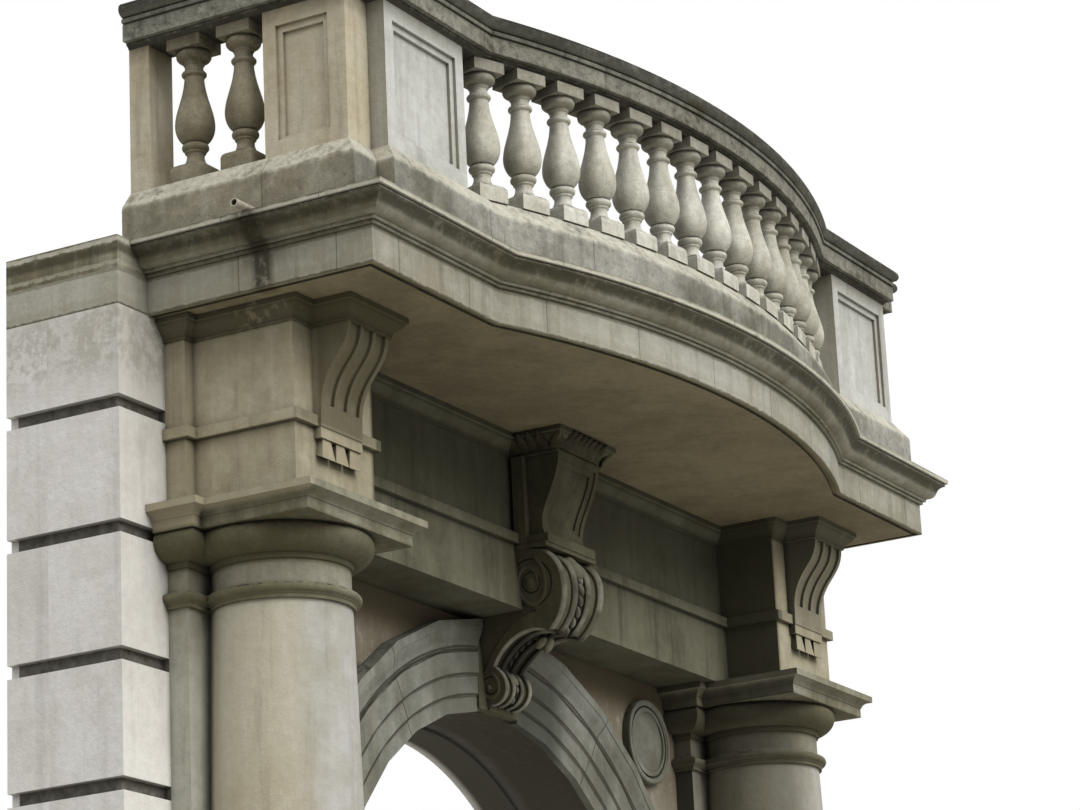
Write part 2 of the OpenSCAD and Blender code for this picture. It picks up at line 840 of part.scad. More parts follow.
module drain_spout() {
    tip = wall_half_w - 20;
    color(stone_dark) set_out() translate([-tip, -500, floor_top + 16]) rotate([0, 90, 0]) difference() {
        cylinder(r = 16, h = tip - side_face - plinth_out);
        translate([0, 0, -1]) cylinder(r = 12, h = 110);
    }
}

left_column_base();
right_column_base();
left_column_shaft();
right_column_shaft();
left_pilaster();
right_pilaster();
left_capital();
right_capital();
left_wall();
right_wall();
arch_wall();
left_rear_wall();
right_rear_wall();
rear_arch();
left_impost_pier();
right_impost_pier();
archivolt();
left_roundel();
right_roundel();
left_entablature_block();
right_entablature_block();
left_bracket();
right_bracket();
architrave();
frieze();
keystone_scroll();
console();
soffit_slab();
floor_slab();
left_plinth();
front_plinth();
right_plinth();
left_wall_pier();
right_wall_pier();
left_corner_pier();
right_corner_pier();
left_front_pedestal();
right_front_pedestal();
left_balusters();
right_balusters();
front_balusters();
left_coping();
front_coping();
right_coping();
drain_spout();
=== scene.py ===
# %% [markdown]
# # A stone balcony on a columned portal
# The solids of the portal and its balcony come ready from a solid modeller. This lesson does what is left: it
# lights them, makes their stone look old, and adds the round carving that a solid modeller is slow at. The frame
# is the imported CAD model. It is loaded first. Nothing that is added later may reach outside it.

# %% Load the frame
import bpy, bmesh, json, math
from mathutils import Matrix, Vector

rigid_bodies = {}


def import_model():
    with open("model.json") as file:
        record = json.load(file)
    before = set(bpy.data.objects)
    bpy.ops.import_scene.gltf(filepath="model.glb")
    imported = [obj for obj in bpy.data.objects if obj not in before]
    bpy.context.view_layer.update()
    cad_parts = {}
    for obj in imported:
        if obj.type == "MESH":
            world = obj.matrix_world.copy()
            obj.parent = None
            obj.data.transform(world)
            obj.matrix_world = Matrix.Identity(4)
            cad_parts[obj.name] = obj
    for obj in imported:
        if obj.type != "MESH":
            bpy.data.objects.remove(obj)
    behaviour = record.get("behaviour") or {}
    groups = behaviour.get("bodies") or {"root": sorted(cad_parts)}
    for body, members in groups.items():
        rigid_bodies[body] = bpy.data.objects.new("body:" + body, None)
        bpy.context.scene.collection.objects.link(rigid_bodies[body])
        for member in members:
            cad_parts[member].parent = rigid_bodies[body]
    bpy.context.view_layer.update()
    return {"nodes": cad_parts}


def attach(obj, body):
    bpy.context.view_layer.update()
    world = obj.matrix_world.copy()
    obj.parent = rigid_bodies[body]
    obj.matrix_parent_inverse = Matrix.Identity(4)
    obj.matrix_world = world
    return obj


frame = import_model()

nodes = frame["nodes"]
WALL_Y = 0.4275                     # the front face of the wall
BOW_CENTRE_Y = 2.875 + WALL_Y       # the centre of the balcony's bow, on the middle line
SPRING_Z, ARCH_RADIUS = 3.477, 1.282

# %% [markdown]
# ## The camera
# The photograph looks up at the balcony from the pavement, well to its left, through a long lens. A camera could
# be placed by eye, but its edges would never lie on those of the photograph. This one was solved from the edges
# of the stonework, so it is given as a place and three angles, which are turned into its three axes.

# %% Camera
YAW, PITCH, ROLL = 1.0635, 0.2991, 0.0481
CAMERA_PLACE = (-12.577, -7.295 + WALL_Y, 1.602)
FOCAL_PIXELS, PHOTO_PIXELS, SENSOR_MM = 3604.58, 1080, 36.0

def look_axes(yaw, pitch, roll):
    """Right, down and forward directions of a camera that looks up by pitch and is turned by yaw."""
    forward = Vector((math.sin(yaw) * math.cos(pitch), math.cos(yaw) * math.cos(pitch), math.sin(pitch)))
    level = forward.cross(Vector((0, 0, 1))).normalized()
    under = forward.cross(level)
    right = math.cos(roll) * level + math.sin(roll) * under
    down = math.cos(roll) * under - math.sin(roll) * level
    return right, down, forward

right, down, forward = look_axes(YAW, PITCH, ROLL)
camera_data = bpy.data.cameras.new("camera")
camera_data.sensor_width = SENSOR_MM
camera_data.lens = FOCAL_PIXELS / PHOTO_PIXELS * SENSOR_MM
camera_data.clip_end = 200.0
camera = bpy.data.objects.new("camera", camera_data)
bpy.context.scene.collection.objects.link(camera)
turn = Matrix((right, -down, -forward)).transposed()
camera.matrix_world = Matrix.Translation(CAMERA_PLACE) @ turn.to_4x4()
bpy.context.scene.camera = camera
print("lens", round(camera_data.lens, 2), "mm")

# %% [markdown]
# ## Node trees
# The light, the finishes and the carving are all node trees. They could be drawn by hand in the node editor, but
# a script makes them the same each time. This class keeps its calls short: it adds a node, sets its fields and
# its inputs, and links an input where its value is another node's socket.

# %% Trees
class Tree:
    def __init__(self, tree):
        self.tree = tree

    def put(self, socket, value):
        if isinstance(value, bpy.types.NodeSocket):
            self.tree.links.new(value, socket)
        else:
            socket.default_value = value

    def add(self, kind, inputs=None, **settings):
        node = self.tree.nodes.new(kind)
        for key, value in settings.items():
            setattr(node, key, value)
        for socket, value in (inputs or {}).items():
            self.put(node.inputs[socket], value)
        return node

print("trees ready")

# %% [markdown]
# ## Light
# The photograph was taken under a bright overcast sky. The sky over the street is the brightest part of it, so
# the fronts of the stones are lighter than their sides, every ledge throws a soft shade, and the recess under the
# slab is dark. Large lamps could do that from one side only. A world light that fades towards the horizon and one
# very soft sun do it for every view. The camera itself sees plain white behind the portal. The floor is pale to
# the camera, but sends little light back up, as a street does.

# %% World
SKY_COLOUR, WHITE = (0.96, 0.98, 1.0, 1), (1, 1, 1, 1)
SKY_FADE = {"From Min": 0.0, "From Max": 0.85, "To Min": 0.20, "To Max": 1.50}     # height, and strength there

scene = bpy.context.scene
scene.view_settings.view_transform = "Standard"
world = bpy.data.worlds.new("sky")
scene.world = world
world.use_nodes = True
world.node_tree.nodes.clear()
tree = Tree(world.node_tree)
path = tree.add("ShaderNodeLightPath").outputs
seen = tree.add("ShaderNodeMath", {0: path["Is Camera Ray"], 1: path["Is Glossy Ray"]}, operation="MAXIMUM")
seen = tree.add("ShaderNodeMath", {0: seen.outputs[0], 1: path["Is Transmission Ray"]}, operation="MAXIMUM")
direction = tree.add("ShaderNodeTexCoord")
height = tree.add("ShaderNodeSeparateXYZ", {0: direction.outputs["Generated"]})
strength = tree.add("ShaderNodeMapRange", {"Value": height.outputs["Z"], **SKY_FADE})
sky = tree.add("ShaderNodeBackground", {"Color": SKY_COLOUR, "Strength": strength.outputs[0]})
white = tree.add("ShaderNodeBackground", {"Color": WHITE, "Strength": 1.0})
blend = tree.add("ShaderNodeMixShader", {"Fac": seen.outputs[0], 1: sky.outputs[0], 2: white.outputs[0]})
tree.add("ShaderNodeOutputWorld", {"Surface": blend.outputs[0]})
print("sky strength:", SKY_FADE["To Min"], "to", SKY_FADE["To Max"])

# %% Soft sun and floor
SUN_STRENGTH, SUN_ANGLE, SUN_COLOUR = 1.9, 45, (1.0, 0.985, 0.95)
SUN_HEADING = (0.12, 0.80, -0.58)
FLOOR_HALF = 60
FLOOR_LIT, FLOOR_SEEN = (0.30, 0.29, 0.26, 1), (0.86, 0.86, 0.85, 1)

sun_data = bpy.data.lights.new("soft_sun", "SUN")
sun_data.energy = SUN_STRENGTH
sun_data.angle = math.radians(SUN_ANGLE)
sun_data.color = SUN_COLOUR
sun = bpy.data.objects.new("soft_sun", sun_data)
scene.collection.objects.link(sun)
sun.rotation_euler = Vector(SUN_HEADING).to_track_quat("-Z", "Y").to_euler()

floor_mesh = bpy.data.meshes.new("floor")
corners = [(x * FLOOR_HALF, y * FLOOR_HALF, 0) for x, y in ((-1, -1), (1, -1), (1, 1), (-1, 1))]
floor_mesh.from_pydata(corners, [], [(0, 1, 2, 3)])
floor = bpy.data.objects.new("floor", floor_mesh)
scene.collection.objects.link(floor)
floor_finish = bpy.data.materials.new("floor_finish")
floor_finish.use_nodes = True
tree = Tree(floor_finish.node_tree)
path = tree.add("ShaderNodeLightPath").outputs
tone = tree.add("ShaderNodeMix", {"Factor": path["Is Camera Ray"], "A": FLOOR_LIT, "B": FLOOR_SEEN},
                data_type="RGBA")
shader = tree.tree.nodes["Principled BSDF"]
tree.put(shader.inputs["Roughness"], 0.95)
tree.put(shader.inputs["Base Color"], tone.outputs["Result"])
floor_mesh.materials.append(floor_finish)
print("sun and floor ready")

# %% [markdown]
# ## Weathered stone
# The whole portal is one pale stone, but age has dressed it differently. Rain washes what stands open to the sky
# and leaves it light; what a ledge shelters keeps its soot and goes brown-black; water that runs off a ledge
# draws streaks; and a black crust grows on what faces up and stays damp. Shade is painted in as well: under the
# ledges, in the creases and grooves, and on the sides turned from the light. Pictures of stone could be wrapped
# round it, but they repeat, and they smear on turned shapes. Noise that is read from the object's own coordinates
# has no seams and fits every shape, so one recipe makes all the finishes.

# %% Shader helpers
def linear(colour, factor=1.0):
    """A colour as read on a screen, 0 to 255, made lighter or darker and turned into the scene's linear colour."""
    def one(v):
        v = min(255, v * factor) / 255
        return v / 12.92 if v < 0.04045 else ((v + 0.055) / 1.055) ** 2.4
    return (*[one(v) for v in colour], 1.0)

class Sheet(Tree):
    """The node tree of one material, with the place and the direction that its patterns read."""
    def __init__(self, name):
        self.material = bpy.data.materials.new(name)
        self.material.use_nodes = True
        super().__init__(self.material.node_tree)
        self.shader = self.tree.nodes["Principled BSDF"]
        self.place = self.add("ShaderNodeTexCoord").outputs["Object"]
        self.normal = self.add("ShaderNodeNewGeometry").outputs["Normal"]
        self.x, self.y, self.z = self.split(self.place)
        self.nx, self.ny, self.up = self.split(self.normal)

    def math(self, operation, a, b=0.0, c=0.0, clamp=False):
        return self.add("ShaderNodeMath", {0: a, 1: b, 2: c}, operation=operation, use_clamp=clamp).outputs[0]

    def split(self, vector):
        return self.add("ShaderNodeSeparateXYZ", {0: vector}).outputs

    def stretched(self, scale, shift=(0, 0, 0)):
        return self.add("ShaderNodeMapping", {"Vector": self.place, "Scale": scale, "Location": shift}).outputs[0]

    def noise(self, scale, detail=4.0, rough=0.55, vector=None, distortion=0.0):
        vector = self.place if vector is None else vector
        return self.add("ShaderNodeTexNoise", {"Vector": vector, "Scale": scale, "Detail": detail,
                                               "Roughness": rough, "Distortion": distortion}).outputs["Fac"]

    def step(self, value, low, high):
        """0 below low, 1 above high, smooth between them."""
        return self.add("ShaderNodeMapRange", {"Value": value, "From Min": low, "From Max": high},
                        interpolation_type="SMOOTHSTEP").outputs[0]

    def between(self, value, low, high, soft):
        """1 from low to high, with edges that are 2 * soft wide."""
        return self.math("MULTIPLY", self.step(value, low - soft, low + soft),
                         self.math("SUBTRACT", 1.0, self.step(value, high - soft, high + soft)))

    def share(self, a, b, part):
        """A part of a and the rest of b."""
        return self.math("MULTIPLY_ADD", a, part, self.math("MULTIPLY", b, 1 - part))

    def sway(self, noise, amount, value):
        """A value moved up and down by a noise, whose middle is 0.5."""
        return self.math("MULTIPLY_ADD", self.math("SUBTRACT", noise, 0.5), amount, value)

    def mix(self, factor, a, b, mode="MIX"):
        return self.add("ShaderNodeMix", {"Factor": factor, "A": a, "B": b}, data_type="RGBA",
                        blend_type=mode).outputs["Result"]

    def tint(self, colour, mask, amount, paint, factor=1.0):
        """colour with a screen colour laid over it where the mask is."""
        return self.mix(self.math("MULTIPLY", mask, amount), colour, linear(paint, factor))

    def shaded(self, colour, factor):
        """colour times a grey factor."""
        grey = self.add("ShaderNodeCombineXYZ", {0: factor, 1: factor, 2: factor})
        return self.mix(1.0, colour, grey.outputs[0], "MULTIPLY")

    def closeness(self, reach, inputs=None):
        """How much of the view outward is blocked within reach, 0 to 1."""
        node = self.add("ShaderNodeAmbientOcclusion", {"Distance": reach, **(inputs or {})}, samples=4,
                        only_local=False)
        return self.math("SUBTRACT", 1.0, node.outputs["AO"])

print("helpers ready")

# %% [markdown]
# ### Joints
# Mortar joints are hairlines less than 5 mm wide. Cut into the solids they would cost many faces and hardly show,
# so they are colour and a shallow groove in the bump. Planes place them: upright, or turned about the centre of
# the bow or of the arch. The quirks between the archivolt's mouldings are drawn in the same way, as rings, and
# their dark line is painted shade. All of them stop on the soffit, which is plastered.

# %% Joints
JOINT_HALF_WIDTH, JOINT_WOBBLE = 0.002, 0.006
RING_SHARE = 0.45                   # a ring is a quirk of the moulding, about twice as wide as a joint

def joint_mask(s, joints):
    """1 on the mortar joints. A joint is ("x", place), ("y", place), ("turn", degrees about the bow's centre),
    ("arch", degrees about the arch's centre) or ("ring", radius about it), each with an optional range of
    heights."""
    wobble = s.math("MULTIPLY", s.math("SUBTRACT", s.noise(9.0, 3.0), 0.5), JOINT_WOBBLE)
    total = None
    for kind, place, *heights in joints:
        if kind in "xy":
            away = s.math("SUBTRACT", {"x": s.x, "y": s.y}[kind], place)
        elif kind == "turn":
            a = math.radians(place)
            away = s.math("MULTIPLY_ADD", s.x, math.cos(a), s.math("MULTIPLY", s.y, math.sin(a)))
            away = s.math("SUBTRACT", away, BOW_CENTRE_Y * math.sin(a))
        # a ring is a quirk of the archivolt; its dark line is painted shade
        elif kind == "ring":
            rise = s.math("SUBTRACT", s.z, SPRING_Z)
            out = s.math("SQRT", s.math("MULTIPLY_ADD", s.x, s.x, s.math("MULTIPLY", rise, rise)))
            away = s.math("MULTIPLY", s.math("SUBTRACT", out, place), RING_SHARE)
        else:
            a = math.radians(place)
            away = s.math("MULTIPLY_ADD", s.x, math.sin(a), s.math("MULTIPLY", s.z, -math.cos(a)))
            away = s.math("ADD", away, SPRING_Z * math.cos(a))
        away = s.math("ABSOLUTE", away if kind == "ring" else s.math("ADD", away, wobble))
        line = s.math("SUBTRACT", 1.0, s.step(away, JOINT_HALF_WIDTH * 0.4, JOINT_HALF_WIDTH * 1.6))
        if kind == "arch":
            side = s.math("GREATER_THAN", s.math("MULTIPLY", s.x, math.cos(a)), 0.0)
            line = s.math("MULTIPLY", line, side)
        if heights:
            line = s.math("MULTIPLY", line, s.between(s.z, *heights, 0.001))
        total = line if total is None else s.math("MAXIMUM", total, line)
    return s.math("MULTIPLY", total, s.step(s.up, -0.6, -0.3))

print("joints:", 2000 * JOINT_HALF_WIDTH, "mm wide")

# %% [markdown]
# ### The recipe
# Each step lays a colour over the last one through a mask. The masks could be painted by hand, but a rule follows
# the form by itself when a piece changes. The steps are the stone's own two tones, a tint of painted light and
# shade on its sides, a browner tint on its underside that is partly its own colour and partly painted shade, brown
# patches, runs of water, bands at given heights for mouldings that are always lighter or darker than the rest (some
# of them painted shadow lines), and soot and painted shade on the side away from the light. Then come speckle and
# pits, soot and painted shade where a ledge shelters the stone and on the faces turned left and back, grime and
# painted shade in the creases, crust on the ledges, the stains that only one place has, and last painted shade in
# the grooves, the joints (with painted shade in the archivolt's quirks) and the relief.

# %% The recipe for stone
MIDDLE_SCALE, FINE_SCALE, GRAIN_SCALE, PIT_SCALE = 6.5, 28.0, 150.0, 75.0      # of the noises, per metre
MORTAR_AND_QUIRK_SHADE, GROOVE_SHADE = (58, 54, 43), (58, 53, 42)
BUMP_STRENGTH, BUMP_DEPTH = 0.6, 0.008

def stone(name, light, dark, stain=(116, 92, 60), stain_amount=0.35, streaks=0.35, crust=0.5, crust_from=0.2,
          grime_and_crease_shade=0.7, reach=0.06, shelter=0.3, shelter_reach=0.35, soot_and_side_shade=0.0, side=None, soffit=None, lee_soot_and_shade=None,
          black=(36, 34, 27), seed=0.0, pits=0.15, mottle=0.35, joints=(), joint_depth=0.5, bands=(), spots=(),
          broad=1.1, courses=None):
    s = Sheet(name)
    shift = (seed * 3.1, seed * 1.7, seed * 2.3)
    moved = s.stretched((1, 1, 1), shift)
    big = s.noise(broad, 5.0, 0.62, moved, 0.4)
    middle = s.noise(MIDDLE_SCALE, 5.0, 0.62, moved, 0.2)
    fine = s.noise(FINE_SCALE, 5.0, 0.68, moved)
    grain = s.noise(GRAIN_SCALE, 3.0, 0.7, moved)
    run = s.noise(1.0, 5.0, 0.62, s.stretched((15, 15, 1.1), shift))
    upright = s.math("SUBTRACT", 1.0, s.math("ABSOLUTE", s.up), clamp=True)

    # the stone's own tones, painted light and shade on its sides, and its underside: own brown and painted shade
    tone = s.step(s.share(middle, big, 0.40), 0.37, 0.63)
    colour = s.mix(tone, linear(dark), linear(light))
    if side:
        paint, amount = side
        colour = s.tint(colour, s.step(s.math("ABSOLUTE", s.nx), 0.45, 0.9), amount, paint)
    if soffit:
        paint, amount = soffit
        under = s.step(s.math("MULTIPLY", s.up, -1.0), 0.5, 0.9)
        colour = s.mix(s.math("MULTIPLY", under, amount), colour, s.mix(tone, linear(paint, 0.82), linear(paint)))
    patch = s.step(s.noise(2.3, 6.0, 0.65, s.stretched((1, 1, 0.55), (7 + seed, 3, 1))), 0.48, 0.74)
    colour = s.tint(colour, patch, stain_amount, stain)
    # water runs: dark ones and washed ones
    colour = s.tint(colour, s.math("MULTIPLY", s.step(run, 0.50, 0.72), upright), streaks, dark, 0.55)
    colour = s.tint(colour, s.math("MULTIPLY", s.step(run, 0.50, 0.30), upright), streaks * 0.7, light, 1.10)
    # bands of height, with edges that noise makes ragged
    if bands:
        rough_z = s.sway(fine, 0.022, s.z)
        for low, high, soft, paint, amount, ragged in bands:
            mask = s.between(rough_z if ragged else s.z, low, high, soft)
            if soffit:
                mask = s.math("MULTIPLY", mask, s.step(s.up, -0.7, -0.4))
            if ragged:
                kept = s.step(s.share(middle, fine, 0.5), 0.56 - 0.3 * ragged, 0.66 - 0.2 * ragged)
                mask = s.math("MULTIPLY", mask, kept)
            colour = s.tint(colour, mask, amount, paint)
    # soot and painted shade on the side turned from the street's light
    if lee_soot_and_shade:
        from_x, paint, amount = lee_soot_and_shade
        turned = s.step(s.math("MULTIPLY", s.nx, -1.0), -0.05, 0.80)
        colour = s.tint(colour, s.math("MULTIPLY", turned, s.step(s.x, from_x, from_x + 0.05)), amount, paint)
    # mottling, speckle and grain
    speckle = s.math("MULTIPLY", s.sway(fine, mottle * 2.2, 1.0), s.sway(grain, mottle * 1.2, 1.0))
    colour = s.shaded(colour, speckle)
    hole = s.math("SUBTRACT", 1.0, s.step(s.noise(PIT_SCALE, 2.0, 0.5, moved), 0.27, 0.33))
    hole = s.math("MULTIPLY", hole, pits)
    colour = s.mix(hole, colour, linear(dark, 0.5))
    # soot and painted shade on what a ledge shelters from the rain and the sky
    if shelter:
        tilt = s.add("ShaderNodeVectorMath", {0: s.normal, 1: (0.55, 0.55, 0.0), 2: (0.0, 0.0, 0.8)},
                     operation="MULTIPLY_ADD")
        roofed = s.closeness(shelter_reach, {"Normal": tilt.outputs[0]})
        sheltered_soot_and_shade = s.step(s.sway(middle, 0.35, roofed), 0.38, 0.85)
        colour = s.tint(colour, s.math("MULTIPLY", sheltered_soot_and_shade, s.step(s.up, -0.9, -0.4)), shelter, black, 1.5)
    # soot and painted shade on the faces turned left and back, away from the light
    if soot_and_side_shade:
        away = s.math("MULTIPLY_ADD", s.nx, -0.80, s.math("MULTIPLY", s.ny, 0.55))
        colour = s.tint(colour, s.step(s.sway(middle, 0.5, away), 0.25, 0.85), soot_and_side_shade, black, 1.35)
    # grime and painted shade in the creases
    colour = s.tint(colour, s.step(s.sway(fine, 0.5, s.closeness(reach)), 0.30, 0.85), grime_and_crease_shade, black)
    # crust on what faces the sky
    patchy = s.step(s.share(middle, fine, 0.45), 0.62 - 0.24 * crust, 0.68 - 0.18 * crust)
    growth = s.math("MULTIPLY", s.step(s.up, crust_from, crust_from + 0.4), patchy)
    growth = s.math("MULTIPLY", growth, min(1.0, crust * 1.3))
    colour = s.mix(growth, colour, linear(black))
    # stains of one place
    for x_range, y_range, z_range, soft, paint, amount, drawn in spots:
        mask = s.between(s.x, *x_range, soft)
        mask = s.math("MULTIPLY", mask, s.between(s.y, *y_range, soft))
        mask = s.math("MULTIPLY", mask, s.between(s.z, *z_range, soft))
        if drawn:
            mask = s.math("MULTIPLY", mask, s.step(s.share(run, fine, 0.5), 0.36, 0.52))
        colour = s.tint(colour, mask, amount, paint)
    # painted shade in the grooves between the courses
    if courses:
        part = s.math("FRACT", s.math("DIVIDE", s.math("SUBTRACT", s.z, courses["first"]), courses["pitch"]))
        inside = s.between(part, 0.0, courses["opening"] / courses["pitch"], 0.004)
        outer = s.math("GREATER_THAN", s.math("ABSOLUTE", s.x), courses["beyond_x"])
        inside = s.math("MULTIPLY", inside, outer)
        inside = s.math("MULTIPLY", inside, s.math("LESS_THAN", s.y, courses["before_y"]))
        colour = s.tint(colour, inside, s.math("MULTIPLY_ADD", fine, 0.5, 0.6), GROOVE_SHADE)
    # relief, joints and gloss
    height = s.math("SUBTRACT", s.share(fine, grain, 0.75), s.math("MULTIPLY", hole, 0.8))
    height = s.math("MULTIPLY_ADD", growth, 0.35, height)
    if joints:
        line = joint_mask(s, joints)
        colour = s.tint(colour, line, joint_depth, MORTAR_AND_QUIRK_SHADE)
        height = s.math("SUBTRACT", height, s.math("MULTIPLY", line, joint_depth * 1.6))
    bump = s.add("ShaderNodeBump", {"Strength": BUMP_STRENGTH, "Distance": BUMP_DEPTH, "Height": height})
    s.put(s.shader.inputs["Base Color"], colour)
    s.put(s.shader.inputs["Normal"], bump.outputs[0])
    s.put(s.shader.inputs["Roughness"], s.math("MULTIPLY_ADD", fine, 0.18, 0.80))
    s.put(s.shader.inputs["Specular IOR Level"], 0.25)
    return s.material

print("recipe ready")

# %% [markdown]
# ## Finishes
# Each part of the portal gets its own version of the recipe, with the tones that the photograph shows on it, the
# joints between its stones, the bands and stains that only it has, and the light and shade painted onto it. One
# material for all of it would be shorter, but the plastered wall, the washed balusters and the sooty keystone
# have little in common. Lengths are in metres in the frame's axes:
#
# - a band is low, high, softness, colour, amount and raggedness
# - a spot is a range of x, of y and of z, softness, colour, amount and whether water drew it
# - a lee (soot and painted shade) is the x it starts from, colour and amount; a side (painted light and shade)
#   and a soffit (own colour and painted shade) are colour and amount.

# %% Walls, columns and pilasters
ANY = (-9, 9)
top_course = (5.60, 5.90, 0.10, (128, 118, 94), 0.45, 0.5)
doorway = (-1.32, 1.32)
grooves = {"first": 0.366, "pitch": 0.464, "opening": 0.050, "beyond_x": 2.15, "before_y": 0.90}
finishes = {
    "plaster": stone("plaster", (228, 225, 220), (210, 206, 199), stain=(176, 164, 138), stain_amount=0.22,
                     streaks=0.16, crust=0.2, pits=0.05, mottle=0.12, grime_and_crease_shade=0.95, reach=0.05, shelter=0.15, seed=1,
                     bands=[top_course], courses=grooves,
                     # painted shade inside the doorway, on its jambs
                     spots=[(doorway, (-9, 0.905), (-1, 4.80), 0.02, (70, 68, 57), 0.95, False)]),
    # shaft: painted shade on its sides; right-hand shaft, pilaster and capital: soot and painted shade on their left
    # sides
    "shaft": stone("shaft_stone", (190, 189, 186), (168, 164, 152), stain=(158, 140, 98), stain_amount=0.35,
                   streaks=0.22, crust=0.2, seed=2, pits=0.05, mottle=0.14, shelter=0.2,
                   lee_soot_and_shade=(1.0, (62, 61, 50), 0.68), side=((188, 181, 158), 0.80)),
    "pilaster": stone("pilaster_stone", (182, 182, 169), (154, 152, 138), seed=3, streaks=0.3, mottle=0.18,
                      pits=0.05, shelter=0.2, lee_soot_and_shade=(1.0, (34, 34, 26), 0.92)),
    "capital": stone("capital_stone", (158, 155, 138), (118, 113, 92), seed=4, grime_and_crease_shade=0.9, crust=0.6, mottle=0.34,
                     stain=(96, 88, 54), stain_amount=0.40, shelter=0.25, lee_soot_and_shade=(1.0, (44, 42, 31), 0.70),
                     # painted light on the left side of the left abacus, which faces the open sky
                     spots=[((-2.60, -2.32), ANY, (5.045, 5.14), 0.012, (178, 168, 142), 0.60, False)],
                     bands=[(4.905, 5.04, 0.012, (78, 74, 50), 0.66, 0.9),
                            (4.825, 4.905, 0.012, (182, 178, 164), 0.35, 0),
                            (4.76, 4.815, 0.005, (92, 86, 60), 0.40, 0.7)]),
    "pier_jamb": stone("jamb_stone", (150, 148, 134), (120, 117, 101), seed=20, streaks=0.3, mottle=0.25),
}
print("finishes so far:", len(finishes))

# %% Entablature, keystone and arch
arch_lines = [("arch", a) for a in (36, 58, 122, 144)]
arch_lines += [("ring", ARCH_RADIUS + step) for step in (0.064, 0.148, 0.246, 0.260)]
block_returns = ((1.60, 1.70), (-1.70, -1.60))
# painted shade in the volute's hollow and in the deep channel behind the rope
shade_in_the_hollow = [((-0.115, 0.115), ANY, (4.91, 5.05), 0.015, (40, 38, 28), 0.75, False)]
shade_between_rolls = ((-0.036, 0.036), ANY, (4.78, 5.372), 0.004, (30, 28, 21), 0.85, False)
wall_field = ((-2.0, 2.0), (0.2, 0.7))
fine_carving = {"grime_and_crease_shade": 1.0, "reach": 0.03, "streaks": 0.1, "shelter": 0.2}
finishes.update({
    "block": stone("block_stone", (190, 184, 162), (162, 153, 128), stain=(146, 118, 76), stain_amount=0.35, seed=5,
                   grime_and_crease_shade=0.9, mottle=0.2, pits=0.05, shelter=0.25, shelter_reach=0.25, streaks=0.25,
                   lee_soot_and_shade=(1.0, (40, 38, 29), 0.90),
                   # painted shade on the blocks' returns into the recess, and on the fronts of the blocks and
                   # brackets under the slab
                   spots=[(x_range, ANY, (5.1, 5.9), 0.012, (70, 68, 52), 0.72, False) for x_range in block_returns]
                   + [((-9, 0), (-9, -0.115), (5.40, 5.87), 0.02, (80, 74, 52), 0.70, False),
                      ((0, 9), (-9, -0.115), (5.40, 5.87), 0.02, (104, 102, 88), 0.50, False)],
                   bands=[(5.775, 5.87, 0.01, (62, 56, 38), 0.80, 1.0),
                          # a thin line of painted shade under the taenia
                          (5.395, 5.402, 0.003, (60, 54, 40), 0.5, 0)]),
    "recess": stone("recess_stone", (124, 123, 104), (92, 90, 72), seed=6, grime_and_crease_shade=0.9, stain=(88, 78, 50),
                    stain_amount=0.25, shelter=0.55, shelter_reach=0.6, mottle=0.22, pits=0.05, streaks=0.45,
                    soffit=((96, 94, 79), 0.6), joints=[("x", 1.152), ("x", -1.152)],
                    # painted shade over the frieze, high under the slab
                    bands=[(5.44, 5.86, 0.03, (72, 70, 54), 0.40, 0)]),
    "carved": stone("carved_stone", (116, 113, 92), (80, 77, 59), seed=7, grime_and_crease_shade=1.0, reach=0.04, shelter=0.40,
                    # painted shade on the keystone's sides, in its hollow and between its rolls
                    mottle=0.34, stain=(92, 82, 50), pits=0.05, streaks=0.25, side=((60, 58, 43), 0.60),
                    spots=shade_in_the_hollow + [shade_between_rolls]),
    "carved_roll": stone("carved_roll_stone", (150, 147, 128), (104, 101, 82), seed=27, mottle=0.34,
                         stain=(92, 82, 50), pits=0.05, crust=0.1, broad=4.0, **fine_carving),
    "carved_strand": stone("carved_strand_stone", (154, 151, 138), (86, 83, 68), seed=28, mottle=0.36,
                           stain=(92, 82, 50), pits=0.05, crust=0.1, broad=4.0, spots=shade_in_the_hollow, **fine_carving),
    # a darker copy of the carved stone for the spirals, painted shade like the keystone's shaded sides
    "carved_side": stone("carved_side_stone", (98, 95, 77), (72, 69, 53), seed=31, mottle=0.34,
                         pits=0.05, crust=0.1, broad=4.0, **fine_carving),
    "carved_dark": stone("carved_dark_stone", (86, 82, 64), (50, 48, 36), seed=29, mottle=0.55,
                         stain=(70, 60, 38), pits=0.1, crust=0.2, broad=5.0, **fine_carving),
    "spandrel": stone("spandrel_stone", (228, 225, 220), (210, 206, 199), stain=(150, 136, 106), stain_amount=0.30,
                      seed=8, crust=0.2, grime_and_crease_shade=0.95, reach=0.05, mottle=0.14, pits=0.05, shelter=0.15, streaks=0.16,
                      bands=[top_course], courses=grooves,
                      spots=[(*wall_field, (3.4, 5.9), 0.03, (128, 120, 98), 0.72, False),
                             (*wall_field, (4.98, 5.2), 0.06, (66, 57, 38), 0.75, False),
                             (*wall_field, (4.55, 5.1), 0.20, (104, 88, 62), 0.55, True),
                             # painted shade on the intrados of the doorway
                             (doorway, ANY, (-1, 4.80), 0.02, (56, 54, 44), 0.85, False)]),
    "archivolt": stone("archivolt_stone", (158, 159, 150), (114, 115, 104), seed=9, grime_and_crease_shade=1.0, reach=0.05,
                       mottle=0.2, pits=0.05, shelter=0.4, streaks=0.2, joint_depth=0.85, joints=arch_lines,
                       spots=[((0.12, 0.52), ANY, (4.55, 5.0), 0.10, (68, 71, 62), 0.86, False)]),
    # painted shadow on the rims of the roundels
    "roundel": stone("roundel_stone", (158, 158, 148), (116, 116, 104), seed=30, grime_and_crease_shade=1.0, reach=0.03, mottle=0.25,
                     pits=0.05, shelter=0.3, streaks=0.1, side=((56, 54, 43), 0.85)),
})
print("finishes so far:", len(finishes))

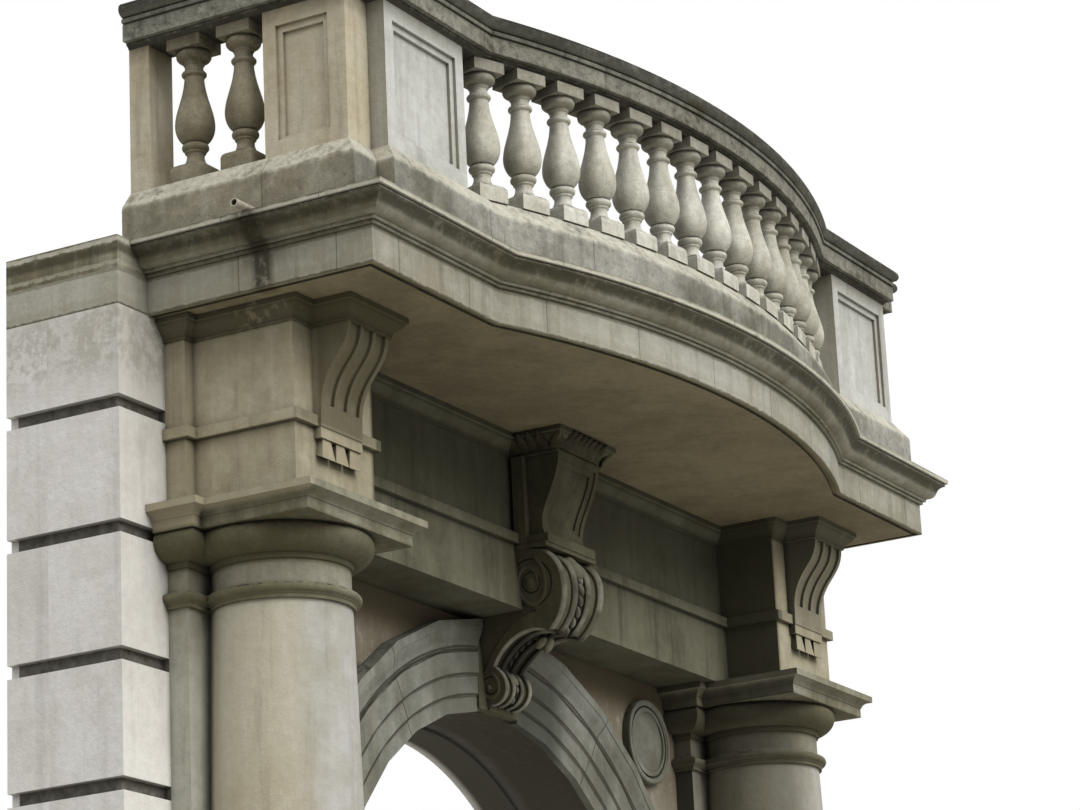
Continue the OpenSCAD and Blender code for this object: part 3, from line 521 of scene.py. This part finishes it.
# %% The slab and its cornice
bow_joints = [("turn", a, 5.8, 6.2) for a in (-17.8, -10.65, -3.5, 3.6, 10.65, 17.8)]
front_joints = [("x", -2.19), ("x", -1.70), ("x", 1.70), ("x", 2.19)]
side_joints = [("y", -0.402 + WALL_Y), ("y", -0.823 + WALL_Y)]
pipe_y, left_end = -0.5 + WALL_Y, (-2.60, -2.30)
under_pipe = [(left_end, (pipe_y - 0.045, pipe_y + 0.035), (5.86, 6.12), 0.02, (40, 36, 26), 0.85, True),
              (left_end, (pipe_y - 0.10, pipe_y + 0.09), (5.95, 6.12), 0.04, (58, 52, 38), 0.45, True)]
walkway = ((-2.25, 2.25), (-0.65, 9), (6.11, 6.15), 0.02, (122, 118, 102), 0.75, False)
finishes.update({
    # corona: painted shade on the sides; soffit partly its own brown, partly painted shade; the bands at 5.855 and
    # 5.988 are painted shadow lines under the drip and at the corona's top
    "corona": stone("corona_stone", (184, 182, 171), (154, 150, 134), seed=10, streaks=0.35, mottle=0.25, pits=0.10,
                    shelter=0.3, stain=(140, 124, 92), stain_amount=0.26, side=((164, 160, 142), 0.5),
                    soffit=((152, 141, 112), 0.95), spots=under_pipe, joint_depth=0.45,
                    joints=bow_joints + front_joints + side_joints,
                    bands=[(5.855, 5.868, 0.004, (62, 56, 42), 0.80, 0.9),
                           (5.868, 5.90, 0.02, (132, 122, 96), 0.35, 0.6),
                           (5.988, 6.002, 0.003, (92, 84, 62), 0.5, 0.8)]),
    # painted shade on the cornice's sides
    "cornice": stone("cornice_stone", (170, 167, 152), (132, 127, 108), seed=12, crust=0.85, grime_and_crease_shade=0.95, reach=0.035,
                     mottle=0.35, pits=0.1, shelter=0.5, streaks=0.55, stain=(92, 84, 56), stain_amount=0.4,
                     side=((100, 90, 64), 0.62), spots=under_pipe + [walkway], joint_depth=0.5,
                     joints=bow_joints + front_joints + side_joints,
                     bands=[(6.014, 6.030, 0.003, (182, 178, 160), 0.55, 0.8),
                            (6.060, 6.098, 0.010, (62, 58, 42), 0.78, 0.72),
                            (6.102, 6.119, 0.003, (196, 192, 177), 0.80, 0.95)]),
})
print("finishes so far:", len(finishes))

# %% The balustrade
turned_plinth = [("turn", a, 6.125, 6.37) for a in (-22, -14.3, -2.4, 2.4, 14.3, 22)]
finishes.update({
    # painted shade on the plinth's sides
    "plinth": stone("plinth_stone", (168, 166, 156), (108, 106, 94), seed=13, crust=0.42, crust_from=0.72,
                    mottle=0.50, pits=0.35, shelter=0.25, streaks=0.30, stain=(108, 105, 92), stain_amount=0.50,
                    side=((158, 148, 124), 0.55), joints=turned_plinth + [("y", -0.53 + WALL_Y)], joint_depth=0.4,
                    bands=[(6.118, 6.136, 0.005, (48, 44, 34), 0.80, 1.0),
                           (6.283, 6.372, 0.012, (208, 203, 186), 0.50, 0.75)]),
    "pier": stone("pier_stone", (196, 188, 166), (172, 158, 128), stain=(160, 130, 84), stain_amount=0.50, seed=14,
                  mottle=0.2, pits=0.05, shelter=0.35, grime_and_crease_shade=0.7, reach=0.03,
                  bands=[(6.88, 6.95, 0.02, (116, 108, 86), 0.4, 0.6)]),
    # painted shade on the pedestals' sides
    "pedestal": stone("pedestal_stone", (204, 205, 200), (178, 177, 169), seed=15, crust=0.3, stain=(150, 140, 116),
                      stain_amount=0.25, mottle=0.2, pits=0.05, shelter=0.4, streaks=0.3, reach=0.03, grime_and_crease_shade=0.8,
                      side=((150, 143, 124), 0.7), bands=[(6.89, 6.95, 0.02, (128, 122, 102), 0.4, 0.6)]),
    # soot and painted shade on the balusters' faces turned left and back
    "baluster": stone("baluster_stone", (212, 210, 199), (178, 174, 158), seed=16, crust=0.7, crust_from=0.35,
                      mottle=0.42, pits=0.30, shelter=0.30, shelter_reach=0.15, soot_and_side_shade=0.42, grime_and_crease_shade=0.8, reach=0.03,
                      stain=(104, 94, 68), stain_amount=0.35,
                      bands=[(6.84, 6.95, 0.02, (92, 87, 68), 0.55, 0.7)]),
    "side_baluster": stone("side_baluster_stone", (158, 151, 130), (118, 110, 88), seed=26, crust=0.6,
                           crust_from=0.35, mottle=0.45, pits=0.25, shelter=0.35, shelter_reach=0.15, soot_and_side_shade=0.1,
                           grime_and_crease_shade=0.85, reach=0.03, stain=(92, 82, 54), stain_amount=0.40,
                           bands=[(6.78, 6.95, 0.03, (74, 66, 46), 0.65, 0.25)]),
    "coping": stone("coping_stone", (134, 133, 122), (88, 86, 74), seed=17, crust=0.95, crust_from=0.05, pits=0.6,
                    grime_and_crease_shade=0.95, reach=0.035, mottle=0.85, shelter=0.6, shelter_reach=0.2, stain=(78, 74, 54),
                    joints=[("turn", a) for a in (-21.5, -12.3, -3.1, 6.1, 15.3)], joint_depth=0.4,
                    # painted shade on the coping's underside
                    bands=[(6.93, 6.955, 0.004, (42, 38, 28), 0.75, 0.8),
                           (6.965, 7.022, 0.010, (146, 143, 130), 0.40, 0.7),
                           (7.070, 7.13, 0.015, (30, 29, 23), 0.80, 0.62)]),
    "pipe": stone("pipe_metal", (216, 211, 198), (170, 163, 148), seed=18, stain=(104, 74, 46), stain_amount=0.45,
                  mottle=0.4),
})
print("finishes:", len(finishes))

# %% [markdown]
# The finishes go onto the CAD nodes. A node could be replaced by a mesh of its own, but these shapes are right as
# they are, so only their materials change.

# %% Finish every node
where = {
    "plaster": ["left_wall", "right_wall", "left_rear_wall", "right_rear_wall", "rear_arch"],
    "shaft": ["left_column_shaft", "right_column_shaft"],
    "pilaster": ["left_pilaster", "right_pilaster", "left_column_base", "right_column_base"],
    "pier_jamb": ["left_impost_pier", "right_impost_pier"],
    "capital": ["left_capital", "right_capital"],
    "block": ["left_entablature_block", "right_entablature_block", "left_bracket", "right_bracket"],
    "recess": ["architrave", "frieze"],
    "carved": ["keystone_scroll", "console"],
    "spandrel": ["arch_wall"],
    "archivolt": ["archivolt"],
    "roundel": ["left_roundel", "right_roundel"],
    "corona": ["soffit_slab"],
    "cornice": ["floor_slab"],
    "plinth": ["left_plinth", "front_plinth", "right_plinth"],
    "pier": ["left_corner_pier", "right_corner_pier", "left_wall_pier", "right_wall_pier"],
    "pedestal": ["left_front_pedestal", "right_front_pedestal"],
    "baluster": ["front_balusters"],
    "side_baluster": ["left_balusters", "right_balusters"],
    "coping": ["left_coping", "front_coping", "right_coping"],
    "pipe": ["drain_spout"],
}
for finish, names in where.items():
    for name in names:
        slots = nodes[name].data.materials
        slots.clear()
        slots.append(finishes[finish])
left_out = sorted(set(nodes) - {n for names in where.values() for n in names})
print("finished:", len(nodes) - len(left_out), "left out:", left_out)

# %% [markdown]
# ## Carving on the keystone
# The keystone is an S scroll whose front carries round rolls along its edges and a rope between them. The CAD
# solid has the scroll with its sunk channels, so only the round forms are added. They could be sculpted, but they
# all follow one curve, the scroll's front, and a curve keeps them even. It is worked out here in the same way as
# in the solid. The front narrows downward, so the curve's radius holds the scale at each point.

# %% The scroll's front
KEY_TOP, KEY_FOOT = 5.372, 4.759
HALF_TOP, HALF_FOOT = 0.205, 0.091
VOLUTE_RADIUS, CURL_RADIUS = 0.137, 0.070
VOLUTE, CURL = (-0.323, KEY_TOP - VOLUTE_RADIUS), (-0.071, KEY_FOOT + 0.090)     # centres, as (y, z)
SINK = 0.012                        # how deep the rolls and the rope lie in the front

def half_width(z):
    """Half the keystone's width at a height."""
    return HALF_FOOT + (HALF_TOP - HALF_FOOT) * (z - KEY_FOOT) / (KEY_TOP - KEY_FOOT)

def ring(centre, radius, start, end, count, growth=lambda a: 0.0):
    """Points (y, z) on an arc, in degrees, whose radius may grow."""
    points = []
    for i in range(count + 1):
        a = start + (end - start) * i / count
        r = radius + growth(a)
        points.append((centre[0] + r * math.cos(math.radians(a)), centre[1] + r * math.sin(math.radians(a))))
    return points

def cubic(a, b, c, d, count):
    """Points (y, z) on a curve with two handles."""
    points = []
    for i in range(count + 1):
        t = i / count
        r = 1 - t
        shares = (r ** 3, 3 * r * r * t, 3 * r * t * t, t ** 3)
        points.append(tuple(sum(w * p[k] for w, p in zip(shares, (a, b, c, d))) for k in (0, 1)))
    return points

def sunk(points, depth):
    """The same line of points, moved into the stone by depth."""
    moved = []
    for i, (y, z) in enumerate(points):
        ahead, behind = points[min(i + 1, len(points) - 1)], points[max(i - 1, 0)]
        ty, tz = ahead[0] - behind[0], ahead[1] - behind[1]
        length = math.hypot(ty, tz)
        moved.append((y - depth * tz / length, z + depth * ty / length))
    return moved

volute_front = ring(VOLUTE, VOLUTE_RADIUS, 96, 252, 22, lambda a: 0.078 * (max(0, a - 170) / 92) ** 2)
hollow_front = cubic((-0.352, VOLUTE[1] - 0.188), (-0.270, VOLUTE[1] - 0.156), (-0.150, VOLUTE[1] - 0.204),
                     (-0.092, CURL[1] + 0.078), 12)
curl_front = ring(CURL, CURL_RADIUS, 112, 276, 14, lambda a: 0.012 * (max(0, 180 - a) / 68) ** 2)
print("points along the front:", len(volute_front) + len(hollow_front) + len(curl_front))

# %% [markdown]
# ### Geometry Nodes helpers
# What repeats or follows a line is grown by a Geometry Nodes tree. Loops that place each copy would make the same
# forms, but in a tree one number changes them all. A tree's sizes are named inputs, which are set on the modifier
# by their identifiers. The evaluated result is turned into a plain mesh, and the modifier and its carrier go.

# %% Tree and carrier
class Growth(Tree):
    """A Geometry Nodes tree with named inputs."""
    def __init__(self, name, inputs):
        super().__init__(bpy.data.node_groups.new(name, "GeometryNodeTree"))
        self.tree.interface.new_socket("Geometry", in_out="INPUT", socket_type="NodeSocketGeometry")
        self.ids = {}
        for label, kind, value in inputs:
            socket = self.tree.interface.new_socket(label, in_out="INPUT", socket_type=kind)
            socket.default_value = value
            self.ids[label] = socket.identifier
        self.tree.interface.new_socket("Geometry", in_out="OUTPUT", socket_type="NodeSocketGeometry")
        self.start = self.tree.nodes.new("NodeGroupInput")
        self.end = self.tree.nodes.new("NodeGroupOutput")

    def close(self, geometry, finish):
        """The last two nodes: real geometry, and its material."""
        real = self.add("GeometryNodeRealizeInstances", {"Geometry": geometry})
        done = self.add("GeometryNodeSetMaterial", {"Geometry": real.outputs[0], "Material": finish})
        self.tree.links.new(done.outputs[0], self.end.inputs[0])

def add_piece(name, mesh):
    """A finished mesh, placed as it is, as a piece of the only body."""
    piece = bpy.data.objects.new(name, mesh)
    scene.collection.objects.link(piece)
    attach(piece, "root")
    print(name, len(mesh.polygons), "faces")

def grow(name, carrier, growth, values):
    """The mesh that a tree makes on a carrier, as a piece of its own."""
    modifier = carrier.modifiers.new("growth", "NODES")
    modifier.node_group = growth.tree
    for label, value in values.items():
        modifier[growth.ids[label]] = value
    evaluated = carrier.evaluated_get(bpy.context.evaluated_depsgraph_get())
    mesh = bpy.data.meshes.new_from_object(evaluated)
    mesh.name = name
    carrier.modifiers.remove(modifier)
    bpy.data.objects.remove(carrier)
    add_piece(name, mesh)

def carrier_curve(lines):
    """A curve object of open lines, each a list of (x, y, z, radius)."""
    data = bpy.data.curves.new("line", "CURVE")
    data.dimensions = "3D"
    for line in lines:
        spline = data.splines.new("POLY")
        spline.points.add(len(line) - 1)
        for point, (x, y, z, r) in zip(spline.points, line):
            point.co = (x, y + WALL_Y, z, 1.0)
            point.radius = r
    carrier = bpy.data.objects.new("line", data)
    scene.collection.objects.link(carrier)
    return carrier

print("growth helpers ready")

# %% [markdown]
# ### Rolls
# A roll is a round bar half sunk in the stone. It could be extruded face by face, but a circle that is drawn
# along the curve stays round through both turns of the S, and the curve's radius narrows it with the scroll. Each
# front has one roll at either edge and a smaller pair beside the rope.

# %% Rolls along the scroll
rolls = Growth("rolls_along_lines", [("Sides", "NodeSocketInt", 10)])
inputs = rolls.start.outputs
section = rolls.add("GeometryNodeCurvePrimitiveCircle", {"Resolution": inputs["Sides"], "Radius": 1.0})
radius = rolls.add("GeometryNodeInputRadius")
drawn = rolls.add("GeometryNodeCurveToMesh", {"Curve": inputs[0], "Profile Curve": section.outputs[0],
                                              "Scale": radius.outputs[0], "Fill Caps": True})
smooth = rolls.add("GeometryNodeSetShadeSmooth", {"Geometry": drawn.outputs[0], "Shade Smooth": True})
rolls.close(smooth.outputs[0], finishes["carved_strand"])

ROLLS = ((0.875, 0.115, 0.45), (0.31, 0.095, 0.55))     # place and radius in half widths, depth in radii
lines = []
for front in (volute_front, hollow_front, curl_front):
    for side in (-1, 1):
        for centre, share, depth in ROLLS:
            line = []
            for (y, z), (fy, fz) in zip(sunk(front, SINK), front):
                w = half_width(fz)
                r = share * w
                k = min(1.0, depth * r / SINK)
                line.append((side * centre * w, fy + (y - fy) * k, fz + (z - fz) * k, r))
            lines.append(line)
grow("keystone_rolls", carrier_curve(lines), rolls, {"Sides": 10})

# %% [markdown]
# ### Rope
# The rope is a row of slanted beads that overlap, as strands laid round a cord. Twisted strands could make it,
# but from the street they look like beads, and a bead needs few faces. The curve is cut into equal lengths, a
# bead stands on each point, is turned along the curve, and then leans by the angle of the lay.

# %% Rope between the rolls
rope = Growth("rope_of_beads", [("Spacing", "NodeSocketFloat", 0.03), ("Length", "NodeSocketFloat", 0.03),
                                ("Width", "NodeSocketFloat", 0.014), ("Rise", "NodeSocketFloat", 0.016),
                                ("Lay", "NodeSocketFloat", 0.7)])
inputs = rope.start.outputs
spaced = rope.add("GeometryNodeResampleCurve", {"Curve": inputs[0], "Length": inputs["Spacing"]}, mode="LENGTH")
bead = rope.add("GeometryNodeMeshUVSphere", {"Segments": 10, "Rings": 6, "Radius": 1.0})
size = rope.add("ShaderNodeCombineXYZ", {"X": inputs["Width"], "Y": inputs["Rise"], "Z": inputs["Length"]})
shaped = rope.add("GeometryNodeTransform", {"Geometry": bead.outputs[0], "Scale": size.outputs[0]})
tangent = rope.add("GeometryNodeInputTangent")
along = rope.add("FunctionNodeAlignRotationToVector", {"Vector": tangent.outputs[0]}, axis="Z")
across = rope.add("FunctionNodeAlignRotationToVector", {"Rotation": along.outputs[0], "Vector": (1, 0, 0)},
                  axis="X", pivot_axis="Z")
lay = rope.add("ShaderNodeCombineXYZ", {"Y": inputs["Lay"]})
lean = rope.add("FunctionNodeEulerToRotation", {"Euler": lay.outputs[0]})
leaning = rope.add("FunctionNodeRotateRotation", {"Rotation": across.outputs[0], "Rotate By": lean.outputs[0]},
                   rotation_space="LOCAL")
scale = rope.add("GeometryNodeInputRadius")
beads = rope.add("GeometryNodeInstanceOnPoints", {"Points": spaced.outputs[0], "Instance": shaped.outputs[0],
                                                  "Rotation": leaning.outputs[0], "Scale": scale.outputs[0]})
smooth = rope.add("GeometryNodeSetShadeSmooth", {"Geometry": beads.outputs[0], "Shade Smooth": True})
rope.close(smooth.outputs[0], finishes["carved_strand"])

FULL_SIZE_HALF = 0.174              # the keystone's half width where a bead has its full size
lines = []
for front in (volute_front[10:], hollow_front, curl_front[2:]):
    lines.append([(0.0, y, z, half_width(z) / FULL_SIZE_HALF) for y, z in sunk(front, SINK)])
grow("keystone_rope", carrier_curve(lines), rope,
     {"Spacing": 0.040, "Length": 0.028, "Width": 0.0130, "Rise": 0.018, "Lay": 0.50})

# %% [markdown]
# ### Spirals on the sides
# Each side of the volute and of the curl carries a flat spiral that winds in to a round eye. It could be cut into
# the solid, but such a cut leaves thin and ragged faces. So it is drawn as a round bar again, then pressed nearly
# flat and laid on the slanting side of the keystone by moving each point: its new distance from the middle
# depends on its height.

# %% Spirals
spirals = Growth("pressed_spirals", [("Sides", "NodeSocketInt", 8), ("Press", "NodeSocketFloat", 0.4),
                                     ("Slope", "NodeSocketFloat", 0.186), ("Foot", "NodeSocketFloat", HALF_FOOT),
                                     ("Foot height", "NodeSocketFloat", KEY_FOOT)])
inputs = spirals.start.outputs
section = spirals.add("GeometryNodeCurvePrimitiveCircle", {"Resolution": inputs["Sides"], "Radius": 1.0})
radius = spirals.add("GeometryNodeInputRadius")
drawn = spirals.add("GeometryNodeCurveToMesh", {"Curve": inputs[0], "Profile Curve": section.outputs[0],
                                                "Scale": radius.outputs[0], "Fill Caps": True})
where_now = spirals.add("GeometryNodeInputPosition")
parts = spirals.add("ShaderNodeSeparateXYZ", {"Vector": where_now.outputs[0]})
side_sign = spirals.add("ShaderNodeMath", {0: parts.outputs["X"]}, operation="SIGN")
depth = spirals.add("ShaderNodeMath", {0: side_sign.outputs[0], 1: parts.outputs["X"]}, operation="MULTIPLY")
depth = spirals.add("ShaderNodeMath", {0: depth.outputs[0], 1: 1.0}, operation="SUBTRACT")
rise = spirals.add("ShaderNodeMath", {0: parts.outputs["Z"], 1: inputs["Foot height"]}, operation="SUBTRACT")
face = spirals.add("ShaderNodeMath", {0: rise.outputs[0], 1: inputs["Slope"], 2: inputs["Foot"]},
                   operation="MULTIPLY_ADD")
out_x = spirals.add("ShaderNodeMath", {0: depth.outputs[0], 1: inputs["Press"], 2: face.outputs[0]},
                    operation="MULTIPLY_ADD")
signed = spirals.add("ShaderNodeMath", {0: out_x.outputs[0], 1: side_sign.outputs[0]}, operation="MULTIPLY")
there = spirals.add("ShaderNodeCombineXYZ", {"X": signed.outputs[0], "Y": parts.outputs["Y"],
                                             "Z": parts.outputs["Z"]})
placed = spirals.add("GeometryNodeSetPosition", {"Geometry": drawn.outputs[0], "Position": there.outputs[0]})
smooth = spirals.add("GeometryNodeSetShadeSmooth", {"Geometry": placed.outputs[0], "Shade Smooth": True})
spirals.close(smooth.outputs[0], finishes["carved_side"])

# centre, outer and inner radius, turns, thickness, and width as a share of height
SPIRALS = ((VOLUTE, 0.108, 0.052, 1.15, 0.011, 0.72), (CURL, 0.056, 0.028, 0.9, 0.008, 0.9))
SPIRAL_STEPS, EYE_STEPS = 48, 6
lines = []
for side in (-1, 1):
    for (centre_y, centre_z), outer, inner, turns, thick, narrow in SPIRALS:
        middle_y = centre_y + 0.008
        line = []
        for i in range(SPIRAL_STEPS + 1):
            t = i / SPIRAL_STEPS
            a = math.radians(60 - 360 * turns * t)
            r = outer + (inner - outer) * t
            line.append((side, middle_y - narrow * r * math.cos(a), centre_z + r * math.sin(a),
                         thick * (1 - 0.35 * t)))
        lines.append(line)
        eye = []
        for i in range(EYE_STEPS + 1):
            t = i / EYE_STEPS
            eye.append((side * (0.98 + 0.04 * t), middle_y, centre_z, inner * 0.52 * math.sqrt(max(0.02, 1 - t * t))))
        lines.append(eye)
grow("keystone_spirals", carrier_curve(lines), spirals, {"Sides": 12, "Press": 0.42})

# %% [markdown]
# ### Leaves
# A carved leaf is a closed shell: a ribbed and scalloped front over a plain back that lies in the stone. It could
# be sculpted, but a leaf this small needs few faces and clean edges. One function makes it from two rules, one
# for the edge and one for the swelling, and the places that use it only say where a point of the leaf lies on the
# stone.

# %% A leaf
def smooth_mesh(name, built, finish):
    """A finished mesh from the one that was built, smooth and with its material."""
    for face in built.faces:
        face.smooth = True
    mesh = bpy.data.meshes.new(name)
    built.to_mesh(mesh)
    built.free()
    mesh.materials.append(finish)
    return mesh

def leaf_mesh(name, place, finish, across, along, lobes=3.5, scallop=0.14):
    """place(u, v, swell) gives a point for u from -1 to 1 across, v from 0 to 1 along, and swell 0 to 1."""
    mesh = bmesh.new()
    front, back = [], []
    for j in range(along + 1):
        v = j / along
        edge = (1 - v ** 2.2) ** 0.75 * (1 + scallop * math.cos(2 * math.pi * lobes * v)) + 0.02
        row_front, row_back = [], []
        for i in range(across + 1):
            u = -1 + 2 * i / across
            vein = 0.5 + 0.5 * math.cos(2 * math.pi * (lobes * (v - 0.35 * abs(u))))
            rib = math.exp(-(u / 0.13) ** 2)
            swell = max(0.0, (1 - u * u) ** 0.5) * (0.62 + 0.26 * vein * min(1.0, abs(u) * 2) + 0.30 * rib)
            row_front.append(mesh.verts.new(place(u * edge, v, min(1.0, swell))))
            row_back.append(mesh.verts.new(place(u * edge, v, -0.35)))
        front.append(row_front)
        back.append(row_back)
    for j in range(along):
        for i in range(across):
            mesh.faces.new((front[j][i], front[j][i + 1], front[j + 1][i + 1], front[j + 1][i]))
            mesh.faces.new((back[j][i], back[j + 1][i], back[j + 1][i + 1], back[j][i + 1]))
        for i in (0, across):
            mesh.faces.new((front[j][i], front[j + 1][i], back[j + 1][i], back[j][i]))
    for i in range(across):
        for j in (0, along):
            mesh.faces.new((front[j][i], back[j][i], back[j][i + 1], front[j][i + 1]))
    bmesh.ops.recalc_face_normals(mesh, faces=mesh.faces)
    return smooth_mesh(name, mesh, finish)

print("leaf ready")

# %% [markdown]
# One broad leaf falls over the top of the volute, from under the console's foot to where the rope begins, and a
# small one falls over the head of the curl.

# %% Leaves over the volute and the curl
LEAF_BED, CURL_BED = 0.122, 0.062   # radius of the stone under each leaf

def on_volute(u, v, swell):
    a = math.radians(93 + 76 * v)
    top = min(0.136 / math.sin(a), 0.166 - 0.012 * v)
    finger = 0.50 + 0.50 * abs(math.cos(1.5 * math.pi * max(-1.0, min(1.0, u)))) if swell > 0 else 1.0
    r = LEAF_BED + (top - LEAF_BED) * swell * finger
    y, z = VOLUTE[0] + r * math.cos(a), VOLUTE[1] + r * math.sin(a)
    return (u * 0.092 - 0.004 * v, y + WALL_Y, z)

def on_curl(u, v, swell):
    a = math.radians(120 + 46 * v)
    r = CURL_BED + 0.022 * swell * (1 - 0.5 * v)
    y, z = CURL[0] + r * math.cos(a), CURL[1] + r * math.sin(a)
    return (u * 0.030, y + WALL_Y, z)

add_piece("keystone_leaf", leaf_mesh("keystone_leaf", on_volute, finishes["carved_roll"], 16, 14))
add_piece("curl_leaf", leaf_mesh("curl_leaf", on_curl, finishes["carved_roll"], 8, 8))

# %% [markdown]
# A bud of four petals hangs where the volute turns under, and closes the end of the volute's rope. It is no
# larger than an apple, so four stretched balls are enough.

# %% Bud under the volute
PETAL = (0.017, 0.017, 0.030)
PETALS = ((0.0, -0.292, 5.012, 0.5, 1.15), (-0.028, -0.272, 5.018, 0.9, 1.05), (0.028, -0.272, 5.018, 0.9, 1.05),
          (0.0, -0.252, 5.030, 1.1, 0.9))                  # x, y, z, lean and size
bud = bmesh.new()
for x, y, z, lean, size in PETALS:
    shape = Matrix.Diagonal((*[v * size for v in PETAL], 1))
    place = Matrix.Translation((x, y + WALL_Y, z)) @ Matrix.Rotation(lean, 4, "X") @ shape
    bmesh.ops.create_uvsphere(bud, u_segments=12, v_segments=8, radius=1.0, matrix=place)
add_piece("keystone_bud", smooth_mesh("keystone_bud", bud, finishes["carved_roll"]))

# %% [markdown]
# ### Leaf moulding on the console's cap
# The cap is a cyma carved with upright leaves, one beside the other, with one across each corner. Each leaf could
# be placed with numbers of its own, but a line knows its direction everywhere. So a leaf is made once, and a line
# runs round the foot of the cap with a point for each leaf. On each point the leaf turns to the line's direction,
# which at a corner is halfway between the two sides.

# %% Leaves round the cap
CAP_FOOT, CAP_TOP = 5.768, 5.858
LEAF_HALF = 0.030

def on_cap(u, v, swell):
    """A point of a leaf on the cyma, which leans out as it rises; the leaf is widest above its middle."""
    u *= 0.55 + 0.55 * math.sin(math.pi * min(1.0, 0.25 + 0.75 * v))
    v *= 0.98
    lean = 0.016 + 0.046 * (1 - math.cos(math.pi * min(1.0, v * 1.05))) / 2
    out = lean + 0.004 + swell * (0.011 + 0.014 * v ** 3)
    return (u * LEAF_HALF, -out, 0.010 + (CAP_TOP - CAP_FOOT - 0.011) * v * (1.0 - 0.08 * swell * v ** 4))

one_leaf = leaf_mesh("one_leaf", on_cap, finishes["carved_dark"], 6, 7, 2.5, 0.10)
one_leaf = bpy.data.objects.new("one_leaf", one_leaf)
scene.collection.objects.link(one_leaf)

leaves = Growth("leaves_round_the_cap", [("Scale", "NodeSocketFloat", 1.0)])
inputs = leaves.start.outputs
source = leaves.add("GeometryNodeObjectInfo", {"Object": one_leaf, "As Instance": False})
points = leaves.add("GeometryNodeCurveToPoints", {"Curve": inputs[0]}, mode="EVALUATED")
facing = leaves.add("FunctionNodeAlignRotationToVector", {"Vector": points.outputs["Tangent"]}, axis="X",
                    pivot_axis="Z")
standing = leaves.add("GeometryNodeInstanceOnPoints", {"Points": points.outputs[0], "Scale": inputs["Scale"],
                                                       "Instance": source.outputs["Geometry"],
                                                       "Rotation": facing.outputs[0]})
leaves.close(standing.outputs[0], finishes["carved_dark"])

CAP_HALF, CAP_FRONT, CAP_BACK = 0.170, -0.461, -0.262
ON_SIDE, ON_FRONT = 4, 7            # leaves along each side and along the front, besides one on each corner
side_y = [CAP_BACK + (CAP_FRONT - CAP_BACK) * (i + 0.5) / (ON_SIDE + 0.5) for i in range(ON_SIDE)]
row = [(-CAP_HALF, y) for y in side_y]
row += [(-CAP_HALF + 2 * CAP_HALF * i / (ON_FRONT + 1), CAP_FRONT) for i in range(ON_FRONT + 2)]
row += [(CAP_HALF, y) for y in reversed(side_y)]
grow("console_leaves", carrier_curve([[(x, y, CAP_FOOT, 1.0) for x, y in row]]), leaves, {"Scale": 1.0})
bpy.data.objects.remove(one_leaf)
